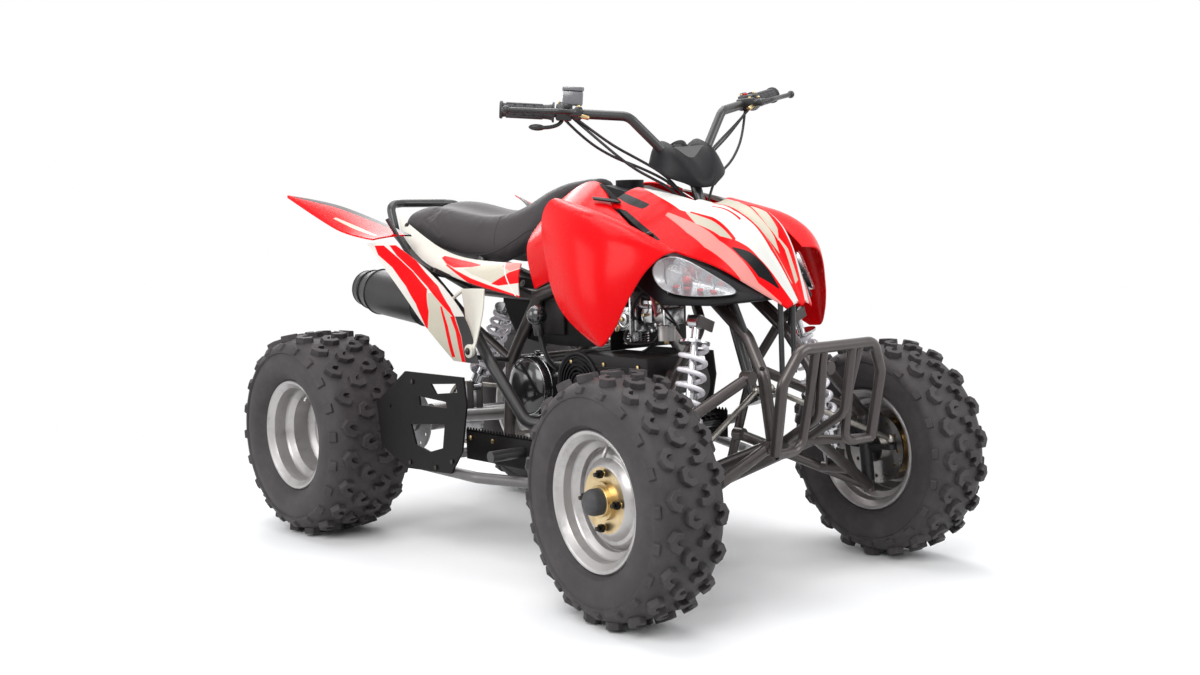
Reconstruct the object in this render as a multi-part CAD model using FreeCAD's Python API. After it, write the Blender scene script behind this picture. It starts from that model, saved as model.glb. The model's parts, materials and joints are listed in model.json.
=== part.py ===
import FreeCAD, Part
import math
import os
from FreeCAD import Vector, Rotation, Placement

# Quad bike, sport type: +X is forward, +Y is the rider's left, +Z is up, z = 0 is the ground.
# Stations along the machine are counted from the rear axle in shares of STATION_LENGTH,
# widths from the middle plane in shares of HALF_WIDTH, heights in shares of BODY_HEIGHT.

# Driving sizes of the whole machine, in millimetres
WHEELBASE = 1235.0
FRONT_TRACK = 856.0
REAR_TRACK = 786.0
BODY_WIDTH = 800.0
BODY_HEIGHT = 1000.0
STATION_SHARE = 0.81
STATION_LENGTH = WHEELBASE * STATION_SHARE
HALF_WIDTH = BODY_WIDTH / 2

# Tyres and rims
FRONT_TYRE_RADIUS = 260.0
FRONT_TYRE_WIDTH = 174.0
REAR_TYRE_RADIUS = 271.0
REAR_TYRE_WIDTH = 248.0
TYRE_WALL = 16.0
LUG_HEIGHT = 13.0
RIM_RADIUS = 143.0
BEAD_RADIUS = 127.0
WELL_RADIUS = 108.0
RIM_WALL = 4.0
FRONT_RIM_WIDTH = 136.0
REAR_RIM_WIDTH = 196.0
RIM_HOLE_RADIUS = 40.0
HUB_RADIUS = 33.0
BOLT_CIRCLE_RADIUS = 55.0
BOLT_RADIUS = 5.0
BOLT_COUNT = 4
NUT_RADIUS = 9.0
NUT_HEIGHT = 9.0
CAP_RADIUS = 26.0
CAP_LENGTH = 34.0
HUB_FLANGE_RADIUS = 68.0
FLANGE_WALL = 8.0

# Brakes
DISC_RADIUS = 86.0
DISC_WALL = 4.0
DISC_HOLE_RADIUS = 5.0
DISC_HOLE_COUNT = 12
BRAKE_GAP = 5.0
CALIPER_WALL = 14.0
REAR_DISC_RADIUS = 92.0

# Axles, knuckles and steering
SPINDLE_RADIUS = 13.0
RUNNING_GAP = 0.3
FIT_GAP = 0.3
BALL_GAP = 2.0
SWING_GAP = 6.0
REAR_AXLE_RADIUS = 17.0
KINGPIN_INSET = 66.0
KINGPIN_HALF = 88.0
CASTER_DEG = 6.0
KNUCKLE_WALL = 30.0
BALL_RADIUS = 14.0
STEER_ARM = 80.0
STEER_ARM_RISE = 34.0
PITMAN_ARM = 40.0
PITMAN_SPREAD = 17.0
PITMAN_WALL = 8.0
STEM_RADIUS = 12.5
ROD_RADIUS = 6.5
ROD_END_RADIUS = 12.0
BAR_RADIUS = 11.0
GRIP_RADIUS = 17.0
GRIP_LENGTH = 118.0
GRIP_FLANGE = 6.0

# Steering as the machine stands: the bars turned to the rider's right
REST_STEER_DEG = -12.0
KNUCKLE_RATIO = 0.5

# Tubes of the frame and what bolts to it
MAIN_TUBE = 16.0
SMALL_TUBE = 11.0
ARM_TUBE = 12.5
BUMPER_TUBE = 12.0
PLATE_WALL = 5.0
PEG_RADIUS = 13.0
SIDE_BAR_TUBE = 13.0

# Springs and dampers
COIL_RADIUS = 33.0
WIRE_RADIUS = 5.5
COIL_COUNT = 7
DAMPER_RADIUS = 17.0
SPRING_SEAT_RADIUS = 34.0
SPRING_SEAT_WALL = 5.0
EYE_RADIUS = 15.0
EYE_WIDTH = 26.0

# Skins
SKIN_WALL = 4.0

# Drive
SPROCKET_RADIUS = 82.0
SPROCKET_WALL = 6.0
SMALL_SPROCKET_RADIUS = 30.0
CHAIN_WIDTH = 14.0
CHAIN_WALL = 10.0
CHAIN_GAP = 0.6

# Engine and exhaust
FAN_RADIUS = 64.0
FAN_COVER_WALL = 16.0
FAN_RING_WIDTH = 4.0
HEADER_RADIUS = 15.0
MUFFLER_RADIUS = 62.0
CYLINDER_RADIUS = 48.0
FIN_WALL = 4.0
FIN_COUNT = 8

# Worked-out places
HALF_FRONT = FRONT_TRACK / 2
HALF_REAR = REAR_TRACK / 2
REAR_AXLE_X = -(WHEELBASE + FRONT_TYRE_RADIUS - REAR_TYRE_RADIUS) / 2
FRONT_AXLE_X = REAR_AXLE_X + WHEELBASE
KINGPIN_Y = HALF_FRONT - KINGPIN_INSET
CASTER = math.radians(CASTER_DEG)
KINGPIN_AXIS = Vector(-math.sin(CASTER), 0, math.cos(CASTER))
X_AXIS = Vector(1, 0, 0)
Y_AXIS = Vector(0, 1, 0)
MIDDLE = Vector(0, 0, 0)
RIGHT = -1
LEFT = 1


# Shares that the shape helpers use
ROOM_SHARE = 0.95
BEND_SHARE = 3.0
AXIS_LIMIT_SHARE = 0.9
FULL_TURN = 360
SHEET_DEGREE = 2

# Shares of tyres, rims, hubs and knuckles
SHOULDER_DROP_SHARE = 1.2
BEAD_SEAT_SHARE = 0.86
TREAD_SHARE = 0.62
SHOULDER_SHARE = 0.90
BULGE_SHARE = 0.94
FRONT_DISH_SHARE = 0.62
FRONT_STEP_SHARE = 0.24
REAR_DISH_SHARE = -0.30
REAR_STEP_SHARE = -0.12
FRONT_PLANE = FRONT_RIM_WIDTH / 2 * FRONT_DISH_SHARE
REAR_PLANE = REAR_RIM_WIDTH / 2 * REAR_DISH_SHARE
FRONT_DISC_OUT = -KINGPIN_INSET + KNUCKLE_WALL + CALIPER_WALL / 2
FRONT_CENTRE = {s: Vector(FRONT_AXLE_X, s * HALF_FRONT, FRONT_TYRE_RADIUS) for s in (LEFT, RIGHT)}
REAR_CENTRE = {s: Vector(REAR_AXLE_X, s * HALF_REAR, REAR_TYRE_RADIUS) for s in (LEFT, RIGHT)}
KINGPIN = {s: Vector(FRONT_AXLE_X, s * KINGPIN_Y, FRONT_TYRE_RADIUS) for s in (LEFT, RIGHT)}
KNUCKLE_REST_DEG = REST_STEER_DEG * KNUCKLE_RATIO
CALIPER_LENGTH = 40.0
CALIPER_HEIGHT = 52.0
CALIPER_BACK_SHARE = 0.72
CALIPER_UP_SHARE = 0.28

# Steering: places and small sizes
CLAMP_LENGTH = 36.0
CLAMP_WIDTH = 84.0
CLAMP_HEIGHT = 40.0
BAR_CLAMP_SHARES = (1.006, 0.115, 0.962)
BAR_BEND_SHARES = (0.973, 0.325, 1.064)
BAR_END_SHARES = (0.842, 0.955, 1.101)
BAR_BEND_SHARE = 3.4
SWITCH_LENGTH = 44.0
SWITCH_RADIUS = 22.0
LEVER_RADIUS = 5.0
LEVER_REACH = 150.0
LEVER_OUT = 46.0
RESERVOIR_SIZE = 46.0
POD_SHARES = (
    ((0.985, -0.26, 0.955), (0.985, 0.26, 0.955), (0.985, 0.22, 1.000), (0.985, -0.22, 1.000)),
    ((1.050, -0.28, 0.905), (1.050, 0.28, 0.905), (1.030, 0.24, 0.985), (1.030, -0.24, 0.985)),
    ((1.076, -0.12, 0.893), (1.076, 0.12, 0.893), (1.072, 0.12, 0.915), (1.072, -0.12, 0.915)),
)

# Front suspension: places and small sizes
UPPER_FRONT_SHARES = (1.306, 0.325, 0.481)
UPPER_REAR_SHARES = (1.085, 0.325, 0.470)
LOWER_FRONT_SHARES = (1.316, 0.200, 0.327)
LOWER_REAR_SHARES = (1.085, 0.200, 0.315)
SHOCK_TOP_SHARES = (1.190, 0.410, 0.598)
SHOCK_FOOT_SHARE = 0.62
PIN_RADIUS = 6.0
EAR_WALL = 5.0
EAR_HALF = 12.0
SEAT_LOW_SHARE = 0.20
SEAT_HIGH_SHARE = 0.14

# Frame and bumper: places and small sizes
UPPER_RAIL_SHARES = ((0.020, 0.26, 0.745), (0.330, 0.30, 0.650), (0.620, 0.34, 0.640), (0.860, 0.26, 0.720),
                     (1.060, 0.16, 0.705))
LOWER_RAIL_SHARES = ((0.480, 0.30, 0.470), (0.470, 0.32, 0.240), (0.640, 0.32, 0.200), (1.020, 0.26, 0.200),
                     (1.316, 0.16, 0.330))
DOWN_TUBE_SHARES = ((1.060, 0.16, 0.705), (1.175, 0.325, 0.585), (1.085, 0.325, 0.470), (1.020, 0.26, 0.200))
FRONT_TUBE_SHARES = ((1.060, 0.16, 0.705), (1.250, 0.17, 0.560), (1.306, 0.20, 0.480), (1.316, 0.16, 0.330))
SIDE_TUBE_SHARES = ((0.620, 0.34, 0.640), (0.480, 0.30, 0.470))
REAR_STAY_SHARES = ((0.480, 0.30, 0.470), (0.300, 0.29, 0.560), (0.020, 0.26, 0.745))
CROSS_SHARES = ((0.020, 0.26, 0.745), (0.330, 0.30, 0.650), (0.860, 0.26, 0.720), (0.480, 0.30, 0.470),
                (0.640, 0.32, 0.200), (1.020, 0.26, 0.200), (1.316, 0.16, 0.330), (1.306, 0.20, 0.480))
ENGINE_FOOT_SHARES = (0.640, 0.12, 0.200)
COLLAR_LENGTH = 40.0
COLLAR_WALL = 9.0
BUMPER_HOOP_SHARES = ((1.405, 0.395, 0.330), (1.430, 0.405, 0.480), (1.443, 0.300, 0.547), (1.443, -0.300, 0.547),
                      (1.430, -0.405, 0.480), (1.405, -0.395, 0.330))
BUMPER_LOOP_SHARES = ((1.405, 0.395, 0.330), (1.400, 0.180, 0.330), (1.420, 0.160, 0.450), (1.443, 0.180, 0.547))
BUMPER_POST_SHARES = ((1.443, 0.120, 0.547), (1.425, 0.105, 0.400), (1.316, 0.105, 0.330))
BUMPER_STAY_SHARES = ((1.405, 0.395, 0.330), (1.316, 0.060, 0.330))

# Rear axle and arm: places and small sizes
ARM_PIVOT_SHARES = (0.452, 0.290, 0.330)
SPROCKET_Y_SHARE = 0.10
DISC_Y_SHARE = -0.14
CARRIER_RADIUS = 38.0
CARRIER_WIDTH = 96.0
ARM_BOX = 44.0
TOOTH_HEIGHT = 6.0
TOOTH_COUNT = 37
HUB_LENGTH = 70.0
REAR_SHOCK_FOOT_SHARES = (0.150, 0, 0.370)
REAR_SHOCK_TOP_SHARES = (0.330, 0, 0.650)
DRIVE_SHARES = (0.532, 0, 0.330)

# Engine and exhaust: places and small sizes
CASE_CENTRE_SHARES = (0.700, 0, 0.370)
CASE_LENGTH = 230.0
CASE_WIDTH = 210.0
CASE_HEIGHT = 200.0
BELT_CASE_WIDTH = 70.0
BELT_CASE_RADIUS = 78.0
CYLINDER_FOOT_SHARES = (0.790, 0, 0.400)
CYLINDER_TOP_SHARES = (0.985, 0, 0.440)
FAN_SHARES = (0.824, -0.480, 0.442)
GEAR_CASE_RADIUS = 46.0
HEADER_SHARES = ((0.965, -0.10, 0.385), (0.930, -0.20, 0.320), (0.700, -0.62, 0.340), (0.560, -0.62, 0.480),
                 (0.420, -0.50, 0.560), (0.300, -0.48, 0.605))
MUFFLER_FRONT_SHARES = (0.300, -0.48, 0.605)
MUFFLER_REAR_SHARES = (-0.077, -0.50, 0.648)
CARB_SHARES = (1.010, -0.20, 0.600)
CARB_RADIUS = 26.0

# Bodywork: each panel is a grid of places, its rows run from rear to front
HOOD_SHARES = (
    ((0.900, 0.00, 0.893), (0.905, 0.14, 0.900), (0.905, 0.26, 0.885), (0.905, 0.36, 0.862)),
    ((1.020, 0.00, 0.868), (1.020, 0.14, 0.886), (1.020, 0.28, 0.850), (1.020, 0.44, 0.800)),
    ((1.120, 0.00, 0.842), (1.122, 0.14, 0.862), (1.125, 0.27, 0.810), (1.130, 0.44, 0.752)),
    ((1.200, 0.00, 0.812), (1.200, 0.14, 0.858), (1.215, 0.22, 0.775), (1.215, 0.32, 0.722)),
    ((1.285, 0.00, 0.742), (1.290, 0.10, 0.785), (1.290, 0.15, 0.720), (1.285, 0.22, 0.672)),
    ((1.346, 0.00, 0.630), (1.346, 0.03, 0.640), (1.344, 0.06, 0.636), (1.340, 0.10, 0.628)),
)
SHROUD_SHARES = (
    ((0.600, 0.20, 0.850), (0.600, 0.38, 0.790), (0.620, 0.44, 0.730), (0.640, 0.42, 0.660)),
    ((0.720, 0.22, 0.915), (0.740, 0.46, 0.850), (0.740, 0.52, 0.770), (0.740, 0.46, 0.690)),
    ((0.830, 0.25, 0.915), (0.840, 0.50, 0.860), (0.850, 0.56, 0.790), (0.850, 0.50, 0.720)),
    ((0.900, 0.37, 0.858), (0.940, 0.50, 0.825), (0.960, 0.52, 0.780), (0.960, 0.48, 0.740)),
    ((1.010, 0.44, 0.800), (1.060, 0.48, 0.785), (1.090, 0.50, 0.766), (1.090, 0.46, 0.756)),
)
FENDER_SHARES = (
    ((0.860, 0.62, 0.865), (0.887, 0.75, 0.883), (0.840, 0.77, 0.836), (0.880, 0.82, 0.738), (0.925, 0.86, 0.652),
     (0.995, 0.88, 0.592), (1.075, 0.88, 0.556)),
    ((0.940, 0.62, 0.850), (0.960, 0.78, 0.862), (0.940, 0.86, 0.815), (0.965, 0.90, 0.730), (1.000, 0.92, 0.655),
     (1.045, 0.92, 0.600), (1.090, 0.90, 0.556)),
    ((1.020, 0.62, 0.830), (1.050, 0.76, 0.838), (1.050, 0.86, 0.800), (1.055, 0.92, 0.730), (1.065, 0.93, 0.665),
     (1.085, 0.92, 0.610), (1.107, 0.90, 0.558)),
    ((1.120, 0.58, 0.785), (1.140, 0.68, 0.790), (1.140, 0.78, 0.770), (1.130, 0.84, 0.720), (1.125, 0.88, 0.665),
     (1.122, 0.88, 0.615), (1.120, 0.88, 0.580)),
    ((1.175, 0.52, 0.752), (1.185, 0.58, 0.752), (1.180, 0.66, 0.742), (1.165, 0.74, 0.710), (1.150, 0.80, 0.665),
     (1.140, 0.84, 0.630), (1.130, 0.86, 0.600)),
)
HOOD_MOUTH_SHARES = ((0.880, -0.15, 0.700), (1.090, 0.15, 1.000))
WING_SHARES = (
    ((-0.151, 0.99, 0.912), (-0.149, 1.00, 0.910), (-0.147, 1.00, 0.908)),
    ((-0.040, 0.86, 0.893), (-0.010, 0.97, 0.875), (0.043, 1.00, 0.836)),
    ((0.060, 0.72, 0.856), (0.110, 0.88, 0.838), (0.160, 0.99, 0.800)),
    ((0.170, 0.52, 0.795), (0.215, 0.72, 0.800), (0.245, 0.94, 0.788)),
)
FLANK_SHARES = (
    ((0.222, 0.95, 0.776), (0.250, 0.92, 0.778), (0.278, 0.86, 0.780)),
    ((0.300, 0.93, 0.705), (0.335, 0.88, 0.715), (0.370, 0.78, 0.722)),
    ((0.368, 0.90, 0.635), (0.415, 0.84, 0.640), (0.470, 0.73, 0.640)),
    ((0.410, 0.84, 0.565), (0.460, 0.78, 0.562), (0.530, 0.70, 0.560)),
    ((0.483, 0.76, 0.483), (0.515, 0.74, 0.480), (0.560, 0.71, 0.478)),
)
SIDE_PANEL_SHARES = (
    ((-0.020, 0.30, 0.850), (0.000, 0.34, 0.830), (0.020, 0.36, 0.805)),
    ((0.110, 0.36, 0.800), (0.140, 0.46, 0.770), (0.160, 0.48, 0.735)),
    ((0.250, 0.36, 0.742), (0.290, 0.48, 0.720), (0.320, 0.50, 0.690)),
    ((0.400, 0.34, 0.722), (0.430, 0.48, 0.695), (0.470, 0.52, 0.662)),
    ((0.570, 0.38, 0.720), (0.590, 0.46, 0.690), (0.620, 0.50, 0.640)),
)
INWARD = Vector(0, -1, 0)
INWARD_DOWN = Vector(0, -1, -1)
INWARD_BACK = Vector(-2, -3, 0)
DOWN = Vector(0, 0, -1)
SEAT_SHARES = (
    (-0.045, 0.16, 0.800, 0.845),
    (0.020, 0.30, 0.790, 0.868),
    (0.120, 0.32, 0.765, 0.870),
    (0.240, 0.30, 0.740, 0.852),
    (0.340, 0.27, 0.728, 0.842),
    (0.440, 0.24, 0.740, 0.855),
    (0.540, 0.20, 0.800, 0.892),
    (0.620, 0.17, 0.860, 0.920),
    (0.700, 0.13, 0.905, 0.930),
)
TANK_SHARES = (
    (0.600, 0.14, 0.742, 0.825),
    (0.710, 0.22, 0.742, 0.882),
    (0.800, 0.26, 0.742, 0.905),
    (0.890, 0.24, 0.760, 0.882),
)
FILLER_SHARES = (0.810, 0, 0.905)
FILLER_RADIUS = 34.0
CAP_HEIGHT = 12.0
NACELLE_SHARES = (
    ((1.072, 0.56, 0.743), (1.072, 0.58, 0.676), (1.072, 0.36, 0.670), (1.072, 0.38, 0.745)),
    ((1.140, 0.50, 0.743), (1.140, 0.55, 0.634), (1.140, 0.30, 0.634), (1.140, 0.30, 0.745)),
    ((1.220, 0.34, 0.706), (1.220, 0.40, 0.632), (1.220, 0.16, 0.632), (1.220, 0.16, 0.708)),
    ((1.302, 0.21, 0.652), (1.302, 0.22, 0.642), (1.302, 0.08, 0.642), (1.302, 0.08, 0.652)),
)
LENS_SHARES = ((1.128, 0.595, 0.722), (1.160, 0.51, 0.744), (1.215, 0.41, 0.708), (1.290, 0.28, 0.656),
               (1.205, 0.46, 0.652), (1.150, 0.57, 0.662))
LENS_WALL = 10.0
LENS_DEPTH_SHARE = 4.0
GRAB_SHARES = ((0.020, 0.27, 0.745), (-0.040, 0.30, 0.800), (-0.068, 0.30, 0.882), (-0.080, 0.18, 0.886))
GUARD_SHARES = ((0.304, 0.377), (0.321, 0.269), (0.436, 0.224), (0.620, 0.232), (0.667, 0.289), (0.690, 0.400),
                (0.680, 0.465), (0.437, 0.464))
GUARD_WINDOW_SHARES = (
    ((0.548, 0.440), (0.650, 0.448), (0.656, 0.428), (0.568, 0.418)),
    ((0.495, 0.407), (0.608, 0.402), (0.612, 0.388), (0.498, 0.386)),
    ((0.456, 0.335), (0.601, 0.349), (0.590, 0.290), (0.535, 0.275), (0.475, 0.288)),
)
GUARD_HOLE_SHARES = (0.369, 0.372)
GUARD_HOLE_RADIUS = 5.0
PEG_FOOT_SHARES = (0.780, 0.305, 0.200)
PEG_SHARES = (0.780, 0.500, 0.290)
PEG_LENGTH = 220.0
SIDE_BAR_SHARES = ((1.000, 0.26, 0.200), (0.900, 0.80, 0.225), (0.700, 1.00, 0.230), (0.430, 1.00, 0.235),
               (0.400, 0.60, 0.235), (0.470, 0.32, 0.240))
STAY_RADIUS = 6.0
SEAT_PAD_RADIUS = 14.0
HOOD_STAY_SHARES = (((1.060, 0.16, 0.705), (1.110, 0.24, 0.880)), ((1.306, 0.05, 0.480), (1.300, 0.05, 0.760)))
SHROUD_STAY_SHARES = (((0.860, 0.26, 0.720), (0.860, 0.64, 0.775)),)
FENDER_STAY_SHARES = (((1.050, 0.18, 0.704), (1.040, 0.62, 0.700), (1.030, 0.86, 0.845)),)
WING_STAY_SHARES = (((0.240, 0.285, 0.678), (0.220, 0.56, 0.700), (0.190, 0.74, 0.840)),)
FLANK_STAY_SHARES = (((0.480, 0.30, 0.470), (0.510, 0.84, 0.500)),)
PANEL_STAY_SHARES = (((0.330, 0.30, 0.650), (0.330, 0.62, 0.705)), ((0.600, 0.34, 0.641), (0.585, 0.56, 0.680)),
                     ((0.100, 0.27, 0.721), (0.100, 0.46, 0.800)))
SEAT_STAY_SHARES = (((0.060, 0.26, 0.733), (0.060, 0.22, 0.820)), ((0.330, 0.30, 0.650), (0.330, 0.20, 0.760)))
TANK_STAY_SHARES = (((0.800, 0.26, 0.694), (0.800, 0.18, 0.760)),)
LAMP_STAY_SHARES = (((1.250, 0.17, 0.560), (1.235, 0.26, 0.660)),)
MUFFLER_STAY_SHARES = ((0.140, -0.28, 0.709), (0.120, -0.46, 0.640))


# Helpers

def place(x_share, y_share, z_share):
    return Vector(REAR_AXLE_X + x_share * STATION_LENGTH, y_share * HALF_WIDTH, z_share * BODY_HEIGHT)


def places(shares):
    return [place(*share) for share in shares]


def mirror(shape):
    return shape.mirror(MIDDLE, Y_AXIS)


def both_sides(shape):
    return Part.makeCompound([shape, mirror(shape)])


def on_side(point, side):
    return Vector(point.x, side * point.y, point.z)


def turned(shape, pos, axis, degrees):
    copy = shape.copy()
    copy.rotate(pos, axis, degrees)
    return copy


def turned_point(point, pos, axis, degrees):
    return pos + Rotation(axis, degrees).multVec(point - pos)


def union(shapes):
    joined = shapes[0]
    if len(shapes) > 1:
        joined = shapes[0].fuse(shapes[1:])
    return joined.removeSplitter()


def rod(start, end, radius):
    return Part.makeCylinder(radius, (end - start).Length, start, end - start)


def ball(centre, radius):
    return Part.makeSphere(radius, centre)


def block(centre, size_x, size_y, size_z):
    corner = centre - Vector(size_x / 2, size_y / 2, size_z / 2)
    return Part.makeBox(size_x, size_y, size_z, corner)


def bent_path(points, bend):
    """Straight runs joined by tangent arcs of the given radius, or what the runs allow."""
    edges = []
    start = points[0]
    for before, corner, after in zip(points, points[1:], points[2:]):
        come = (corner - before).normalize()
        go = (after - corner).normalize()
        turn = come.getAngle(go)
        room = min((corner - before).Length, (after - corner).Length) / 2 * ROOM_SHARE
        reach = min(bend * math.tan(turn / 2), room)
        arc_start = corner - come * reach
        arc_end = corner + go * reach
        towards = (go - come).normalize()
        radius = reach / math.tan(turn / 2)
        arc_middle = corner + towards * (radius / math.cos(turn / 2) - radius)
        edges.append(Part.LineSegment(start, arc_start).toShape())
        edges.append(Part.Arc(arc_start, arc_middle, arc_end).toShape())
        start = arc_end
    edges.append(Part.LineSegment(start, points[-1]).toShape())
    return Part.Wire(edges)


def tube(points, radius, bend_share=BEND_SHARE):
    """A round bar along the points, its corners bent to a few of its radii."""
    path = bent_path(points, radius * bend_share)
    ring = Part.Wire([Part.makeCircle(radius, points[0], points[1] - points[0])])
    sweep = Part.BRepOffsetAPI.MakePipeShell(path)
    sweep.setFrenetMode(True)
    sweep.add(ring)
    sweep.build()
    sweep.makeSolid()
    solid = sweep.shape()
    if solid.Volume < 0:
        solid.reverse()
    return solid


def ring_solid(profile, centre, axis):
    """Revolve (distance along axis, radius) pairs round an axis through centre."""
    side = Vector(1, 0, 0)
    if abs(axis.dot(side)) > AXIS_LIMIT_SHARE:
        side = Vector(0, 0, 1)
    out = axis.cross(side).normalize()
    corners = [centre + axis * along + out * radius for along, radius in profile]
    face = Part.Face(Part.makePolygon(corners + [corners[0]]))
    solid = face.revolve(centre, axis, FULL_TURN)
    if solid.Volume < 0:
        solid.reverse()
    return solid


def wall_profile(points, wall):
    """Close an open (along, radius) line into a wall of even thickness."""
    inner = []
    last = len(points) - 1
    for index in range(len(points)):
        ax, ay = points[max(index - 1, 0)]
        bx, by = points[index]
        cx, cy = points[min(index + 1, last)]
        normals = []
        for (px, py), (qx, qy) in (((ax, ay), (bx, by)), ((bx, by), (cx, cy))):
            length = math.hypot(qx - px, qy - py)
            if length > 0:
                normals.append(((py - qy) / length, (qx - px) / length))
        nx = sum(n[0] for n in normals) / len(normals)
        ny = sum(n[1] for n in normals) / len(normals)
        size = nx * nx + ny * ny
        inner.append((bx + wall * nx / size, by + wall * ny / size))
    return list(points) + inner[::-1]


def plate(outline, wall, direction):
    """A flat sheet: the outline's face pushed by wall along direction."""
    face = Part.Face(Part.makePolygon(outline + [outline[0]]))
    return face.extrude(direction.normalize() * wall)


def triangle(one, two, three):
    return Part.Face(Part.makePolygon([one, two, three, one]))


def faceted(sections):
    """A solid with flat faces through a row of flat sections of equal corner counts."""
    faces = []
    for cap in (sections[0], sections[-1]):
        faces.append(Part.Face(Part.makePolygon(cap + [cap[0]])))
    for one, two in zip(sections, sections[1:]):
        for index in range(len(one)):
            after = (index + 1) % len(one)
            faces.append(triangle(one[index], one[after], two[index]))
            faces.append(triangle(one[after], two[after], two[index]))
    shell = Part.makeShell(faces)
    shell.sewShape()
    solid = Part.makeSolid(shell)
    if solid.Volume < 0:
        solid.reverse()
    return solid.removeSplitter()


def spline_sheet(rows):
    """A smooth surface that follows a grid of control points and stays inside their hull."""
    surface = Part.BSplineSurface()
    knots = []
    for count in (len(rows), len(rows[0])):
        degree = min(SHEET_DEGREE, count - 1)
        spans = count - degree
        mults = [degree + 1] + [1] * (spans - 1) + [degree + 1]
        knots.append((degree, mults, list(range(spans + 1))))
    (u_degree, u_mults, u_knots), (v_degree, v_mults, v_knots) = knots
    surface.buildFromPolesMultsKnots(rows, u_mults, v_mults, u_knots, v_knots, False, False, u_degree, v_degree)
    return surface


def skin(rows, inward, wall=SKIN_WALL):
    """A smooth moulded panel through a grid of points, its wall laid on the inward side."""
    push = Vector(inward).normalize() * wall
    inner_rows = [[point + push for point in row] for row in rows]
    outer = spline_sheet(rows)
    inner = spline_sheet(inner_rows)
    faces = [outer.toShape(), inner.toShape()]
    u0, u1, v0, v1 = outer.bounds()
    for cut, at in (("uIso", u0), ("uIso", u1), ("vIso", v0), ("vIso", v1)):
        one = getattr(outer, cut)(at).toShape()
        two = getattr(inner, cut)(at).toShape()
        faces.append(Part.makeRuledSurface(one, two))
    shell = Part.makeShell(faces)
    shell.sewShape()
    solid = Part.makeSolid(shell)
    if solid.Volume < 0:
        solid.reverse()
    return solid


def closed_body(rows):
    """A solid whose cross-sections are smooth closed rings through the given points."""
    wires = []
    for row in rows:
        curve = Part.BSplineCurve()
        curve.interpolate(row, PeriodicFlag=True)
        wires.append(Part.Wire([curve.toShape()]))
    return Part.makeLoft(wires, True, False)


# Wheels

def tyre(centre, radius, width, rim_width):
    """Balloon tyre with its knobs' tips at the radius, its beads inside the rim's flanges."""
    half = width / 2
    bead = rim_width / 2 * BEAD_SEAT_SHARE - FIT_GAP
    side = radius - RIM_RADIUS
    shoulder = radius - LUG_HEIGHT * SHOULDER_DROP_SHARE
    right = [
        (half * TREAD_SHARE, radius),
        (half * SHOULDER_SHARE, shoulder),
        (half, RIM_RADIUS + side * 0.60),
        (half * BULGE_SHARE, RIM_RADIUS + side * 0.25),
        (bead, RIM_RADIUS + RIM_WALL),
        (bead, BEAD_RADIUS + FIT_GAP),
    ]
    outside = [(-along, out) for along, out in right[::-1]] + right
    return ring_solid(wall_profile(outside, -TYRE_WALL), centre, Y_AXIS)


def rim(centre, side, width, dish_share, step_share):
    """Pressed steel rim: two flanges, bead seats, well and a dished disc with bolt holes."""
    half = width / 2
    line = [
        (half, RIM_RADIUS),
        (half - RIM_WALL, RIM_RADIUS - RIM_WALL),
        (half * BEAD_SEAT_SHARE, BEAD_RADIUS),
        (half * 0.50, BEAD_RADIUS),
        (half * 0.36, WELL_RADIUS),
        (-half * 0.36, WELL_RADIUS),
        (-half * 0.50, BEAD_RADIUS),
        (-half * BEAD_SEAT_SHARE, BEAD_RADIUS),
        (-half + RIM_WALL, RIM_RADIUS - RIM_WALL),
        (-half, RIM_RADIUS),
    ]
    barrel = ring_solid(wall_profile(line, RIM_WALL), centre, Y_AXIS * side)
    plane = half * dish_share
    step = half * step_share
    dish = [
        (plane, RIM_HOLE_RADIUS),
        (plane, HUB_FLANGE_RADIUS + RIM_WALL),
        (plane - step, HUB_FLANGE_RADIUS + abs(step) + RIM_WALL),
        (plane - step, WELL_RADIUS - RIM_WALL / 2),
    ]
    disc = ring_solid(wall_profile(dish, -RIM_WALL), centre, Y_AXIS * side)
    holes = [bolt_bar(centre, side, plane, BOLT_RADIUS + FIT_GAP, i) for i in range(BOLT_COUNT)]
    return union([barrel, disc]).cut(holes)


def bolt_bar(centre, side, plane, radius, index):
    angle = math.radians(FULL_TURN * index / BOLT_COUNT)
    spot = centre + Vector(math.cos(angle), 0, math.sin(angle)) * BOLT_CIRCLE_RADIUS
    start = spot + Y_AXIS * side * (plane - FLANGE_WALL * 2)
    return Part.makeCylinder(radius, FLANGE_WALL * 4, start, Y_AXIS * side)


def nuts(centre, side, face):
    shapes = []
    for index in range(BOLT_COUNT):
        angle = math.radians(FULL_TURN * index / BOLT_COUNT)
        spot = centre + Vector(math.cos(angle), 0, math.sin(angle)) * BOLT_CIRCLE_RADIUS
        shapes.append(hex_bar(spot + Y_AXIS * side * face, Y_AXIS * side, NUT_RADIUS, NUT_HEIGHT))
    return shapes


def hex_bar(start, direction, radius, length):
    side = Vector(1, 0, 0)
    up = direction.cross(side)
    corners = []
    for index in range(6):
        angle = math.radians(FULL_TURN * index / 6)
        corners.append(start + side * (math.cos(angle) * radius) + up * (math.sin(angle) * radius))
    return Part.Face(Part.makePolygon(corners + [corners[0]])).extrude(direction * length)


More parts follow.
